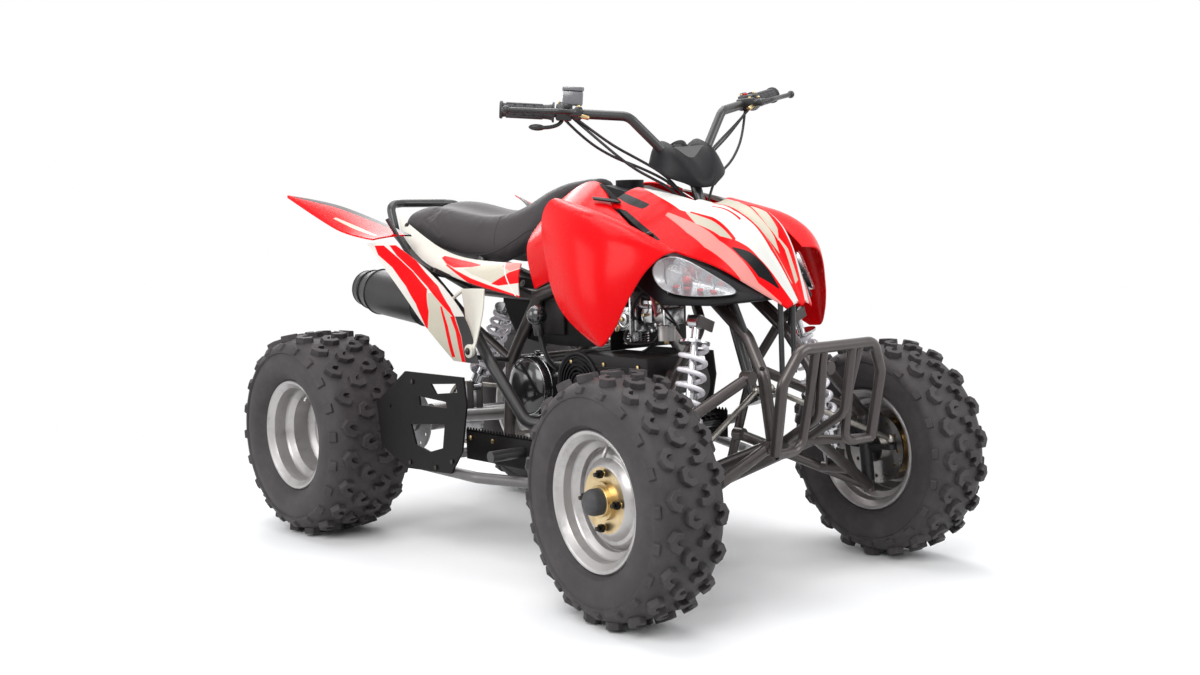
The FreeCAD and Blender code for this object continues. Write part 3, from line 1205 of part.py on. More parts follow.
def shrouds():
    return both_sides(panel(SHROUD_SHARES, INWARD_DOWN))


def tail_wings():
    return both_sides(panel(WING_SHARES, DOWN))


def rear_flanks():
    return both_sides(panel(FLANK_SHARES, INWARD_BACK))


def side_panels():
    return both_sides(panel(SIDE_PANEL_SHARES, INWARD_DOWN))


def seat():
    """Long saddle, low in its middle, its nose climbing over the tank."""
    rows = []
    for x, y, low, high in SEAT_SHARES:
        middle = (low + high) / 2
        row = [place(x, 0, high), place(x, y * 0.75, high - (high - low) * 0.10), place(x, y, middle),
               place(x, y * 0.90, low), place(x, 0, low),
               place(x, -y * 0.90, low), place(x, -y, middle), place(x, -y * 0.75, high - (high - low) * 0.10)]
        rows.append(row)
    return closed_body(rows)


def tank():
    """Fuel tank between the shrouds with its filler neck and cap."""
    rows = []
    for x, y, low, high in TANK_SHARES:
        rows.append([place(x, y * 0.7, high), place(x, y, high * 0.6 + low * 0.4), place(x, y, low),
                     place(x, -y, low), place(x, -y, high * 0.6 + low * 0.4), place(x, -y * 0.7, high)])
    body = faceted(rows)
    spot = place(*FILLER_SHARES)
    neck = rod(spot - Vector(0, 0, CAP_HEIGHT), spot + Vector(0, 0, CAP_HEIGHT), FILLER_RADIUS)
    return union([body, neck])


def lamp_shell():
    return faceted([places(row) for row in NACELLE_SHARES])


def headlamp_shells():
    return both_sides(lamp_shell())


def headlamp_lenses():
    points = places(LENS_SHARES)
    middle = points[0]
    for p in points[1:]:
        middle = middle + p
    middle = middle * (1 / len(points))
    faces = []
    back = Vector(-LENS_WALL, -LENS_WALL, 0) * LENS_DEPTH_SHARE
    crown = middle + Vector(LENS_WALL, LENS_WALL, 0)
    heel = middle + back
    for one, two in zip(points, points[1:] + points[:1]):
        faces.append(Part.Face(Part.makePolygon([one, two, crown, one])))
        faces.append(Part.Face(Part.makePolygon([two, one, heel, two])))
    solid = Part.makeSolid(Part.makeShell(faces))
    if solid.Volume < 0:
        solid.reverse()
    return both_sides(solid.cut(lamp_shell()))


def grab_bar():
    half = places(GRAB_SHARES)
    other = [on_side(p, RIGHT) for p in half[::-1]]
    return tube(half + other, BUMPER_TUBE).cut(frame_room())


def heel_guards():
    """Sheet guard beside each heel, standing against the side bar."""
    outer_y = SIDE_BAR_SHARES[3][1] * HALF_WIDTH + SIDE_BAR_TUBE + FIT_GAP + PLATE_WALL
    outward = Y_AXIS * outer_y
    sheet = plate([place(x, 0, z) + outward for x, z in GUARD_SHARES], PLATE_WALL, INWARD)
    cuts = [plate([place(x, 0, z) + outward for x, z in window], PLATE_WALL, INWARD) for window in GUARD_WINDOW_SHARES]
    x_share, z_share = GUARD_HOLE_SHARES
    hole = place(x_share, 0, z_share) + outward
    cuts.append(rod(hole, hole - Y_AXIS * PLATE_WALL, GUARD_HOLE_RADIUS))
    return both_sides(sheet.cut(cuts))


def side_bars():
    return both_sides(tube(places(SIDE_BAR_SHARES), SIDE_BAR_TUBE).cut(frame_room()))


def foot_pegs():
    start = place(*PEG_SHARES)
    foot = place(*PEG_FOOT_SHARES)
    strut = tube([foot, start, start + Y_AXIS * PEG_LENGTH], PEG_RADIUS)
    return both_sides(strut.cut([frame_room()]))


def held(route, radius, body):
    """A stay that starts on the frame and ends on the face of the body that it carries."""
    bar = tube(places(route), radius).cut([frame_room(), body])
    start = place(*route[0])
    solids = sorted(bar.Solids, key=lambda solid: solid.distToShape(Part.Vertex(start))[0])
    return solids[0]


def panel_stays():
    """Steel stays between the frame and the panels, lamps, seat, tank and silencer."""
    carried = {
        "hood": (hood(), STAY_RADIUS, HOOD_STAY_SHARES),
        "shrouds": (shrouds(), STAY_RADIUS, SHROUD_STAY_SHARES),
        "fenders": (front_fenders(), STAY_RADIUS, FENDER_STAY_SHARES),
        "wings": (tail_wings(), STAY_RADIUS, WING_STAY_SHARES),
        "flanks": (rear_flanks(), STAY_RADIUS, FLANK_STAY_SHARES),
        "panels": (side_panels(), STAY_RADIUS, PANEL_STAY_SHARES),
        "seat": (seat(), SEAT_PAD_RADIUS, SEAT_STAY_SHARES),
        "tank": (tank(), SEAT_PAD_RADIUS, TANK_STAY_SHARES),
        "lamps": (headlamp_shells(), STAY_RADIUS, LAMP_STAY_SHARES),
    }
    shapes = []
    for body, radius, routes in carried.values():
        for route in routes:
            stay = held(route, radius, body)
            shapes += [stay, mirror(stay)]
    shapes.append(held(MUFFLER_STAY_SHARES, STAY_RADIUS, muffler()))
    return Part.makeCompound(shapes)


def chassis_parts():
    return {
        "frame": frame(),
        "upper_arms": upper_arms(),
        "lower_arms": lower_arms(),
        "dampers": dampers(),
        "springs": springs(),
        "front_bumper": front_bumper(),
        "swingarm": swingarm(),
        "chain": chain(),
        "engine_case": engine_case(),
        "engine_cylinder": engine_cylinder(),
        "fan_cover": fan_cover(),
        "exhaust_pipe": exhaust_pipe().cut([engine_cylinder(), engine_case()]),
        "muffler": muffler(),
        "carburettor": carburettor(),
        "hood": hood(),
        "front_fenders": front_fenders(),
        "shrouds": shrouds(),
        "tail_wings": tail_wings(),
        "rear_flanks": rear_flanks(),
        "side_panels": side_panels(),
        "seat": seat(),
        "tank": tank(),
        "headlamp_shells": headlamp_shells(),
        "headlamp_lenses": headlamp_lenses(),
        "grab_bar": grab_bar(),
        "heel_guards": heel_guards(),
        "side_bars": side_bars(),
        "foot_pegs": foot_pegs(),
        "panel_stays": panel_stays(),
    }


def main():
    os.makedirs("parts", exist_ok=True)
    nodes = dict(chassis_parts())
    nodes["rear_axle"] = rear_axle()
    nodes["rear_rims"] = rear_rims()
    nodes["rear_tyres"] = rear_tyres()
    for side, name in ((LEFT, "left"), (RIGHT, "right")):
        wheel = front_wheel(side)
        nodes["front_tyre_" + name] = wheel["tyre"]
        nodes["front_rim_" + name] = wheel["rim"]
        nodes["front_hub_" + name] = wheel["hub"]
        nodes["knuckle_" + name] = knuckle(side)
        nodes["tie_rod_" + name] = tie_rod(side)
    nodes["handlebar"] = handlebar()
    nodes["steering_stem"] = steering_stem()
    nodes["grips"] = grips()
    nodes["controls"] = controls()
    nodes["instrument_pod"] = instrument_pod()
    for name, shape in nodes.items():
        shape.exportStep(os.path.join("parts", name + ".step"))
        print(name, shape.isValid(), len(shape.Solids), round(shape.Volume))


main()
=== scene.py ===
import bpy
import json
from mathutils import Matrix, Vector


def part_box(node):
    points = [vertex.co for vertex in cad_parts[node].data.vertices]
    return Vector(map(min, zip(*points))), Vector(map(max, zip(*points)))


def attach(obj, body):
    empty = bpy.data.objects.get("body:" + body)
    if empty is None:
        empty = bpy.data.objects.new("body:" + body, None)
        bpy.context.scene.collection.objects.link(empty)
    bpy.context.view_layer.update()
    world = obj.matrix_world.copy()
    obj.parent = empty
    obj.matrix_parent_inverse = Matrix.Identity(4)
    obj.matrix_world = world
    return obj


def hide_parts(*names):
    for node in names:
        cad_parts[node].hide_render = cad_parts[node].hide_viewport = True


bl_info = {
    "name": "Quad Bike Looks",
    "version": (1, 0, 0),
    "blender": (4, 5, 0),
    "location": "View3D > Sidebar > Quad Bike",
    "description": "Finishes and detail pieces of a sport quad bike, built around its solid model",
    "category": "Object",
}

import json
import math

import bmesh
import bpy
from bpy.props import FloatProperty, FloatVectorProperty, IntProperty, PointerProperty
from mathutils import Matrix, Vector

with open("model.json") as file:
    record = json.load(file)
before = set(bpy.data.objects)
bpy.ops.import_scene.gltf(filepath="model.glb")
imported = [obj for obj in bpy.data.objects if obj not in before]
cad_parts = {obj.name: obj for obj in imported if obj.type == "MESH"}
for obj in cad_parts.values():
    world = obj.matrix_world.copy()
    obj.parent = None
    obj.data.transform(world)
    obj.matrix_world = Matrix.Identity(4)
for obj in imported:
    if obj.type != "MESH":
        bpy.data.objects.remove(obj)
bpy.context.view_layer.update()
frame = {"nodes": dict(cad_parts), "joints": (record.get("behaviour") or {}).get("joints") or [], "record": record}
JOINTS = {joint["name"]: joint for joint in frame["joints"]}
X_AXIS = Vector((1, 0, 0))
Y_AXIS = Vector((0, 1, 0))
Z_AXIS = Vector((0, 0, 1))
SIDES = (("left", 1), ("right", -1))

# A place is given in thousandths of the CAD part's own scale: forward from the rear axle, left and up
REAR_AXLE = Vector(JOINTS["roll_rear"]["pos_m"])
FRONT_AXLE_X = sum(Vector(JOINTS["roll_front_" + name]["pos_m"]).x for name, side in SIDES) / 2
WHEELBASE = FRONT_AXLE_X - REAR_AXLE.x
STATION = WHEELBASE * 0.81
HALF_WIDTH = STATION * 0.4
HEIGHT = STATION
STEPS = 1000


def station(x):
    return REAR_AXLE.x + x / STEPS * STATION


def place(x, y, z):
    return Vector((station(x), y / STEPS * HALF_WIDTH, z / STEPS * HEIGHT))


def places(spots):
    return [place(*spot) for spot in spots]


def beside(x, y, z):
    """A place whose y is in metres."""
    return Vector((station(x), y, z / STEPS * HEIGHT))


def offsets(base, *steps):
    """Points a few steps in metres away from a base."""
    return [base + Vector(step) for step in steps]


def y_times(point, share):
    return Vector((point.x, point.y * share, point.z))


def angles(count, start=0.0):
    return [math.tau * index / count + start for index in range(count)]


# Sizes and colours that a user may change

class QuadSizes(bpy.types.PropertyGroup):
    lug_height: FloatProperty(name="Lug height", description="How far the knobs stand from the tyre",
                              default=0.0125, unit="LENGTH")
    lug_count: IntProperty(name="Lugs in a row", description="Knobs in one row round a tyre", default=20)
    round_steps: IntProperty(name="Round steps", description="Flats round a wheel", default=96)


class QuadPaint(bpy.types.PropertyGroup):
    red: FloatVectorProperty(name="Red", description="Main colour of the panels", subtype="COLOR", size=4,
                             default=(0.80, 0.003, 0.006, 1))
    cream: FloatVectorProperty(name="Cream", description="Pale stripes and panels", subtype="COLOR", size=4,
                               default=(0.70, 0.68, 0.60, 1))
    black: FloatVectorProperty(name="Black", description="Black mouldings", subtype="COLOR", size=4,
                               default=(0.0055, 0.0050, 0.0065, 1))
    rubber: FloatVectorProperty(name="Rubber", description="Tyres and grips", subtype="COLOR", size=4,
                                default=(0.030, 0.026, 0.027, 1))
    frame_grey: FloatVectorProperty(name="Frame grey", description="Painted tubes", subtype="COLOR", size=4,
                                    default=(0.062, 0.052, 0.050, 1))
    silver: FloatVectorProperty(name="Silver", description="Painted wheel rims", subtype="COLOR", size=4,
                                default=(0.37, 0.355, 0.35, 1))


class QuadStage(bpy.types.PropertyGroup):
    lens: FloatProperty(name="Lens", description="Focal length of the camera in millimetres", default=40.818)
    yaw: FloatProperty(name="Yaw", description="Camera heading", default=math.radians(48.67), subtype="ANGLE")
    pitch: FloatProperty(name="Pitch", description="Camera tilt down", default=math.radians(4.67), subtype="ANGLE")
    roll: FloatProperty(name="Roll", description="Camera roll", default=math.radians(-1.27), subtype="ANGLE")
    light: FloatProperty(name="Light", description="Strength of the soft boxes in watts", default=26.0)


def sizes():
    return bpy.context.scene.quad_sizes


def paint():
    return bpy.context.scene.quad_paint


def stage_values():
    return bpy.context.scene.quad_stage


# Shader maths

def operation(kind, swapped=False):
    """A method that joins a number to another through one Math node."""
    def method(self, other=0.0):
        pair = {0: other, 1: self} if swapped else {0: self, 1: other}
        return self.finish.node("ShaderNodeMath", {"operation": kind}, pair)
    return method


class Maths:
    """A number that varies over a surface, written with plain operators."""
    __add__ = operation("ADD")
    __sub__ = operation("SUBTRACT")
    __rsub__ = operation("SUBTRACT", swapped=True)
    __mul__ = operation("MULTIPLY")
    __truediv__ = operation("DIVIDE")
    __abs__ = operation("ABSOLUTE")
    most = operation("MAXIMUM")
    root = operation("SQRT")
    wave = operation("SINE")

    def __init__(self, finish, socket):
        self.finish = finish
        self.socket = socket


class Finish:
    """One procedural material while its nodes are laid out."""

    def __init__(self, name):
        self.material = bpy.data.materials.new(name)
        self.material.use_nodes = True
        self.tree = self.material.node_tree
        self.tree.nodes.clear()
        self.output = self.tree.nodes.new("ShaderNodeOutputMaterial")
        self.coords = self.node("ShaderNodeTexCoord", out="Object")
        split = self.node("ShaderNodeSeparateXYZ", inputs={0: self.coords}).socket.node
        self.x, self.y, self.z = [Maths(self, socket) for socket in split.outputs]

    def node(self, kind, settings=None, inputs=None, out=0):
        item = self.tree.nodes.new(kind)
        for key, value in (settings or {}).items():
            setattr(item, key, value)
        for key, value in (inputs or {}).items():
            if isinstance(value, Maths):
                self.tree.links.new(value.socket, item.inputs[key])
            else:
                item.inputs[key].default_value = value
        return Maths(self, item.outputs[out])

    def noise(self, scale, detail=3.0, roughness=0.55):
        inputs = {"Vector": self.coords, "Scale": scale, "Detail": detail, "Roughness": roughness}
        return self.node("ShaderNodeTexNoise", None, inputs, "Fac")

    def cells(self, scale):
        return self.node("ShaderNodeTexVoronoi", None, {"Vector": self.coords, "Scale": scale}, "Distance")

    def ramp(self, value, low, high):
        """0 below low, 1 above high, smooth between."""
        return self.node("ShaderNodeMapRange", {"interpolation_type": "SMOOTHSTEP"},
                         {"Value": value, "From Min": low, "From Max": high})

    def mix(self, mask, one, two):
        return self.node("ShaderNodeMix", {"data_type": "RGBA"}, {0: mask, 6: one, 7: two}, 2)

    def surface(self, tone, roughness, relief=None, strength=0.0, distance=0.0, **others):
        """Principled surface with its relief as bump; other sockets by name, underscores for spaces."""
        inputs = {key.replace("_", " "): value for key, value in others.items()}
        inputs.update({"Base Color": tone, "Roughness": roughness})
        if relief:
            bump = {"Height": relief, "Strength": strength, "Distance": distance}
            inputs["Normal"] = self.node("ShaderNodeBump", None, bump, "Normal")
        shader = self.node("ShaderNodeBsdfPrincipled", None, inputs)
        self.tree.links.new(shader.socket, self.output.inputs["Surface"])
        return self.material

    def curve(self, value, points):
        """The height of a broken line over a value."""
        start, end = points[0][0], points[-1][0]
        line = self.node("ShaderNodeValToRGB", None, {0: (value - start) / (end - start)})
        stops = line.socket.node.color_ramp.elements
        stops.remove(stops[-1])
        for u, v in points:
            share = (u - start) / (end - start)
            stop = stops.new(share) if share else stops[0]
            stop.color = (v, v, v, 1)
        return line

    def share(self, axis):
        """How far along an axis, in shares of the machine's sizes, the same on both sides."""
        if axis == "x":
            return (self.x - REAR_AXLE.x) / STATION
        return abs(self.y) / HALF_WIDTH if axis == "y" else self.z / HEIGHT

    def band(self, along, low, high, soft=0.0009):
        """1 between two broken lines that run along the first axis and across the second."""
        u, v = self.share(along[0]), self.share(along[1])
        start, end = low[0][0], low[-1][0]
        inside = self.ramp(v - self.curve(u, low), -soft, soft) * self.ramp(self.curve(u, high) - v, -soft, soft)
        return inside * self.ramp(u, start - soft, start + soft) * self.ramp(end + soft - u, 0.0, soft)


def shaded(colour, share):
    return (colour[0] * share, colour[1] * share, colour[2] * share, 1)


def toned(colour):
    """A user's paint by its name, or a plain colour made opaque."""
    return tuple(getattr(paint(), colour)) if isinstance(colour, str) else (*colour, 1)


MATERIALS = {}


def material(name):
    """The finish of that name, made once."""
    if name not in MATERIALS:
        kind, colour, *values = FINISHES[name]
        MATERIALS[name] = kind(name, toned(colour), *values)
    return MATERIALS[name]


def gloss_panel(name, colour, stripes=()):
    """Glossy moulded plastic with painted stripes and painted highlights, a faint orange peel and fine dust in its
    gloss.
    """
    f = Finish(name)
    tone = f.mix(f.noise(7, 4), shaded(colour, 0.93), shaded(colour, 1.04))
    for shade, along, *edges in stripes:
        low, high = [[(u / STEPS, v / STEPS) for u, v in edge] for edge in edges]
        tone = f.mix(f.band(along, low, high), tone, toned(STRIPE_AND_HIGHLIGHT_COLOURS[shade]))
    dust = f.ramp(f.noise(60, 5, 0.7), 0.35, 0.8)
    return f.surface(tone, dust * 0.1 + 0.22, f.noise(900, 2), 0.05, 0.0004,
                     Coat_Weight=0.03, Coat_Roughness=0.06, Specular_IOR_Level=0.1)


# The pale pink is a painted highlight, red lightened where light catches the gloss, not a print
STRIPE_AND_HIGHLIGHT_COLOURS = {
    "red": "red", "white": (0.76, 0.75, 0.71), "cream": (0.55, 0.51, 0.41), "pale": (0.76, 0.28, 0.25),
    "grey": (0.045, 0.042, 0.042), "black": (0.008, 0.008, 0.009),
}

# Painted stripes and painted highlights: colour, the axes that they run along and across, and their two edges in
# thousandths of a share
HOOD_STRIPES_AND_HIGHLIGHTS = (
    ("white", "xy", ((930, 0), (1120, 0), (1130, 125), (1200, 132), (1290, 90), (1345, 28)),
     ((930, 165), (995, 207), (1077, 239), (1174, 208), (1225, 204), (1278, 151), (1322, 94), (1345, 60))),
    ("cream", "xy", ((1000, 0), (1285, 0)), ((1000, 140), (1120, 110), (1200, 58), (1260, 30), (1285, 0))),
    ("cream", "xy", ((1170, 86), (1206, 60), (1238, 42), (1268, 38)),
     ((1170, 88), (1211, 105), (1255, 70), (1268, 42))),
    ("cream", "xy", ((1262, 40), (1285, 42), (1324, 12)), ((1262, 46), (1289, 58), (1324, 34))),
    ("red", "xy", ((1144, 155), (1224, 140)), ((1144, 161), (1224, 149))),
    ("red", "xy", ((1104, 222), (1163, 202), (1228, 196)), ((1104, 231), (1163, 213), (1228, 206))),
    ("red", "xy", ((1060, 244), (1134, 262), (1198, 240), (1250, 190)),
     ((1060, 280), (1134, 280), (1198, 262), (1250, 218))),
    ("cream", "xy", ((1095, 232), (1163, 214), (1222, 207)), ((1095, 238), (1134, 262), (1198, 236), (1222, 209))),
    # A painted highlight in pale pink beside the red band
    ("pale", "xy", ((1055, 279), (1160, 257), (1200, 250), (1250, 217), (1290, 187), (1330, 120)),
     ((1055, 300), (1130, 320), (1181, 314), (1262, 252), (1300, 205), (1330, 145))),
    ("black", "xy", ((1229, 222), (1264, 171), (1299, 126), (1319, 107)),
     ((1229, 226), (1249, 214), (1287, 177), (1319, 112))),
    ("black", "xy", ((825, 274), (905, 261), (994, 275)),
     ((825, 278), (849, 303), (950, 326), (988, 320), (994, 300))),
    ("black", "xy", ((916, 384), (956, 368), (1022, 400), (1088, 424)),
     ((916, 388), (1005, 429), (1077, 438), (1088, 430))),
)
WING_STRIPES = (
    ("black", "xy", ((-130, 972), (-40, 850), (60, 700), (190, 480)),
     ((-130, 984), (-40, 905), (60, 790), (190, 600))),
    ("cream", "xy", ((60, 930), (142, 880), (215, 855)), ((60, 950), (142, 925), (215, 885))),
)
FLANK_STRIPES = (
    ("cream", "zx", ((478, 475), (505, 452), (562, 417), (605, 421), (650, 412)),
     ((478, 565), (540, 525), (588, 490), (617, 458), (650, 422))),
    ("red", "zx", ((562, 414), (625, 388), (668, 357), (715, 309), (747, 262), (770, 245)),
     ((562, 418), (605, 421), (660, 408), (703, 361), (738, 314), (770, 268))),
    ("red", "zx", ((588, 483), (617, 454), (667, 405), (706, 359), (744, 308), (770, 280)),
     ((588, 486), (613, 471), (667, 428), (702, 386), (734, 350), (770, 298))),
    ("red", "zx", ((492, 480), (570, 461), (617, 447)), ((492, 490), (570, 469), (617, 451))),
    ("red", "zx", ((478, 510), (555, 490), (592, 473)), ((478, 521), (543, 505), (592, 483))),
    ("grey", "zx", ((478, 521), (543, 506), (592, 485)), ((478, 580), (560, 548), (592, 515))),
)
SIDE_STRIPES_AND_HIGHLIGHTS = (
    ("cream", "xz", ((368, 704), (412, 692), (506, 672), (555, 690)),
     ((368, 706), (414, 712), (484, 717), (555, 697))),
    ("red", "xz", ((258, 733), (292, 718), (330, 708), (385, 709), (411, 713)), ((258, 738), (320, 727), (411, 715))),
    ("red", "xz", ((296, 714), (348, 695), (425, 668), (520, 645), (622, 630)),
     ((296, 717), (346, 701), (420, 682), (518, 662), (622, 641))),
    ("red", "xz", ((506, 669), (533, 665), (600, 672), (622, 675)), ((506, 671), (547, 698), (600, 712), (622, 715))),
    # A painted highlight in pale pink above the red band
    ("pale", "xz", ((499, 712), (547, 700), (600, 714), (622, 718)), ((499, 722), (622, 760))),
    ("white", "zx", ((640, 607), (720, 496)), ((640, 611), (720, 501))),
)


def moulded(name, colour, roughness=0.45, grain=0.22):
    """Satin moulded plastic with a fine leather-like grain."""
    f = Finish(name)
    wear = f.noise(24, 5, 0.65)
    tone = f.mix(f.ramp(wear, 0.3, 0.8), shaded(colour, 0.8), shaded(colour, 1.5))
    return f.surface(tone, wear * 0.18 + (roughness - 0.09), f.cells(900), grain, 0.0004, Specular_IOR_Level=0.2)


def painted(name, colour, roughness=0.35, metallic=0.0, coat=0.25, shine=0.5):
    """Powder-coated tube: a soft ripple, tiny flakes and a little grime."""
    f = Finish(name)
    flakes = f.ramp(f.noise(1400, 1), 0.3, 0.8)
    grime = f.noise(18, 6, 0.7)
    tone = f.mix(f.ramp(grime, 0.45, 0.85), shaded(colour, 1.12), shaded(colour, 0.62))
    return f.surface(tone, flakes * 0.1 + grime * 0.16 + (roughness - 0.12), f.noise(420, 2), 0.1, 0.0006,
                     Metallic=metallic, Specular_IOR_Level=shine, Coat_Weight=coat, Coat_Roughness=0.18)


def bare_metal(name, colour, roughness=0.32, grain=0.12, scale=240.0):
    """Bare or plated metal with fine scratches and stains."""
    f = Finish(name)
    scratches = f.noise(scale, 6, 0.75)
    stain = f.ramp(f.noise(30, 4), 0.4, 0.8)
    tone = f.mix(stain, colour, shaded(colour, 0.62))
    return f.surface(tone, scratches * 0.2 + stain * 0.12 + (roughness - 0.1), scratches, grain, 0.0005, Metallic=1.0)


def cast_metal(name, colour, roughness=0.55):
    """Sand-cast metal: coarse grain and darker pits."""
    f = Finish(name)
    grain = f.noise(700, 4, 0.7)
    oil = f.noise(22, 5, 0.65)
    tone = f.mix(f.ramp(oil, 0.45, 0.75), colour, shaded(colour, 0.35))
    return f.surface(tone, grain * 0.25 + (roughness - 0.12), grain, 0.45, 0.0008, Metallic=0.85)


def rubber(name, colour, roughness=0.62):
    """Black rubber with a greyish bloom, fine mould texture and dust."""
    f = Finish(name)
    bloom = f.noise(14, 6, 0.7)
    tone = f.mix(f.ramp(bloom, 0.35, 0.8), shaded(colour, 0.9), shaded(colour, 1.9))
    return f.surface(tone, bloom * 0.22 + (roughness - 0.12), f.noise(800, 3, 0.6), 0.25, 0.0004,
                     Specular_IOR_Level=0.4)


def hub_finish(name, colour, side):
    """Gold-zinc flange, bright brake disc, dark nuts and a black cap, told apart by their place on the wheel."""
    f = Finish(name)
    spin = JOINTS["roll_front_left" if side > 0 else "roll_front_right"]
    centre, axis = Vector(spin["pos_m"]), Vector(spin["axis"]) * side
    out = (f.x - centre.x) * axis.x + (f.y - centre.y) * axis.y + (f.z - centre.z) * axis.z
    reach = f.node("ShaderNodeVectorMath", {"operation": "DISTANCE"}, {0: f.coords, 1: centre}, 1)
    radius = (reach * reach - out * out).root()
    stain = f.noise(30, 4)
    gold = f.mix(f.ramp(stain, 0.4, 0.8), colour, (0.36, 0.25, 0.12, 1))
    steel = f.mix(f.ramp(out, -0.02, -0.016), (0.34, 0.33, 0.32, 1), gold)
    nuts = f.ramp(radius, 0.0435, 0.0445) * f.ramp(out, 0.0425, 0.0435)
    cap = f.ramp(out, 0.0503, 0.0508) * f.ramp(0.03 - radius, 0.0, 0.001)
    dark = nuts.most(cap)
    tone = f.mix(dark, steel, (0.022, 0.021, 0.021, 1))
    return f.surface(tone, stain * 0.15 + dark * 0.15 + 0.22, f.noise(240, 6), 0.12, 0.0005, Metallic=1.0 - cap)


def vinyl(name, colour):
    """Grained black seat vinyl with a painted sheen: its colour is lighter in soft patches."""
    f = Finish(name)
    sheen = f.noise(9)
    # Painted sheen: the colour is lighter where the sheen noise is high
    tone = f.mix(sheen, shaded(colour, 0.8), shaded(colour, 1.5))
    relief = f.cells(420) * 0.6 + f.noise(90, 5, 0.6) * 0.4
    return f.surface(tone, sheen * 0.14 + 0.5, relief, 0.5, 0.0007, Specular_IOR_Level=0.35)


def clear(name, colour):
    """Clear moulded lens: a thin see-through shell with fine vertical prisms."""
    f = Finish(name)
    tint = f.mix(f.noise(30), colour, (0.85, 0.88, 0.92, 1))
    return f.surface(tint, 0.04, (f.y * 900).wave(), 0.03, 0.0005, Alpha=0.16, IOR=1.45, Coat_Weight=0.8,
                     Coat_Roughness=0.03)


# Each finish: its kind, its colour and what differs from the kind's own values
FINISHES = {
    "grey_frame": (painted, "frame_grey", 0.36, 0.55, 0.3),
    "black_tube": (painted, (0.018, 0.018, 0.019), 0.34),
    "silver_tube": (painted, (0.11, 0.105, 0.105), 0.38, 0.5),
    "black_plate": (painted, (0.006, 0.005, 0.005), 0.5, 0.0, 0.0, 0.14),
    "damper_steel": (bare_metal, (0.58, 0.58, 0.6), 0.18),
    "white_spring": (painted, (0.8, 0.78, 0.82), 0.26, 0.0, 0.6),
    "chain_steel": (bare_metal, (0.22, 0.2, 0.18), 0.42),
    "cast_case": (cast_metal, (0.085, 0.083, 0.082)),
    "cast_knuckle": (cast_metal, (0.045, 0.045, 0.047), 0.5),
    "black_plastic": (moulded, "black"),
    "black_exhaust": (painted, (0.02, 0.019, 0.019), 0.45, 0.2, 0.1),
    "bright_alloy": (bare_metal, (0.4, 0.39, 0.38), 0.38),
    "red_panel": (gloss_panel, "red"),
    "white_panel": (gloss_panel, "cream"),
    "seat_vinyl": (vinyl, (0.036, 0.031, 0.033)),
    "clear_lens": (clear, (0.95, 0.97, 1.0)),
    "grip_rubber": (rubber, (0.035, 0.035, 0.037), 0.58),
    "control_alloy": (painted, (0.02, 0.02, 0.021), 0.38, 0.3, 0.2),
    "rod_steel": (bare_metal, (0.34, 0.32, 0.29), 0.4),
    "tyre_rubber": (rubber, "rubber"),
    "silver_rim": (painted, "silver", 0.34, 0.65, 0.35),
    "hub_steel": (bare_metal, (0.6, 0.47, 0.27), 0.28),
    "axle_steel": (bare_metal, (0.34, 0.34, 0.35), 0.36),
    "hood_paint": (gloss_panel, "red", HOOD_STRIPES_AND_HIGHLIGHTS),
    "wing_paint": (gloss_panel, "red", WING_STRIPES),
    "flank_paint": (gloss_panel, (0.7, 0.67, 0.62), FLANK_STRIPES),
    "side_paint": (gloss_panel, (0.7, 0.67, 0.6), SIDE_STRIPES_AND_HIGHLIGHTS),
    "hub_left": (hub_finish, (0.6, 0.47, 0.27), 1),
    "hub_right": (hub_finish, (0.6, 0.47, 0.27), -1),
    "chrome": (bare_metal, (0.52, 0.52, 0.53), 0.2, 0.05, 60.0),
    "gold_zinc": (bare_metal, (0.58, 0.44, 0.22), 0.3),
    "dark_nut": (bare_metal, (0.06, 0.055, 0.05), 0.38),
    "black_gloss": (painted, (0.01, 0.01, 0.011), 0.16, 0.0, 0.9),
    "grey_gloss": (painted, (0.16, 0.16, 0.17), 0.28, 0.2, 0.5),
    "dark_grey": (moulded, (0.013, 0.011, 0.011), 0.46, 0.15),
    "deep_black": (moulded, (0.006, 0.006, 0.006), 0.5, 0.15),
    "cable": (rubber, (0.014, 0.014, 0.015), 0.45),
    "pink_hose": (rubber, (0.6, 0.12, 0.14), 0.4),
    "red_button": (moulded, (0.6, 0.02, 0.02), 0.35, 0.05),
    # The red of the bulb and of the painted red glints in the lamps
    "bulb": (moulded, (0.62, 0.05, 0.05), 0.2, 0.02),
}

# Finishes of single solids that aren't painted in one colour
NODE_LOOKS = {
    "hood": "hood_paint", "shrouds": "hood_paint", "tail_wings": "wing_paint", "rear_flanks": "flank_paint",
    "side_panels": "side_paint", "front_hub_left": "hub_left", "front_hub_right": "hub_right",
}

# Modelling helpers

MERGE = 0.00001
ALONG_X = 0.9
CURVE_STEPS = 8
NUT_BEVEL = 0.12
WALL_BEVEL = 0.3
SOFT_ANGLE = 40


def only(item):
    """Select one object and make it active."""
    bpy.ops.object.select_all(action="DESELECT")
    bpy.context.view_layer.objects.active = item
    item.select_set(True)


def added(operator, name="shape", **settings):
    """The new object of an add operator, named and alone in the selection."""
    bpy.ops.object.select_all(action="DESELECT")
    operator(**settings)
    item = bpy.context.object
    item.name = item.data.name = name
    return item


def linked(item):
    bpy.context.scene.collection.objects.link(item)
    return item


def editing(item):
    """Open a mesh for editing with all of it selected."""
    only(item)
    bpy.ops.object.mode_set(mode="EDIT")
    bpy.ops.mesh.select_all(action="SELECT")


def done():
    bpy.ops.object.mode_set(mode="OBJECT")


def pick(item, test):
    """Select the faces whose centre and normal pass the test, in edit mode."""
    mesh = bmesh.from_edit_mesh(item.data)
    for face in mesh.faces:
        face.select_set(bool(test(face.calc_center_median(), face.normal)))
    mesh.select_flush_mode()
    bmesh.update_edit_mesh(item.data)


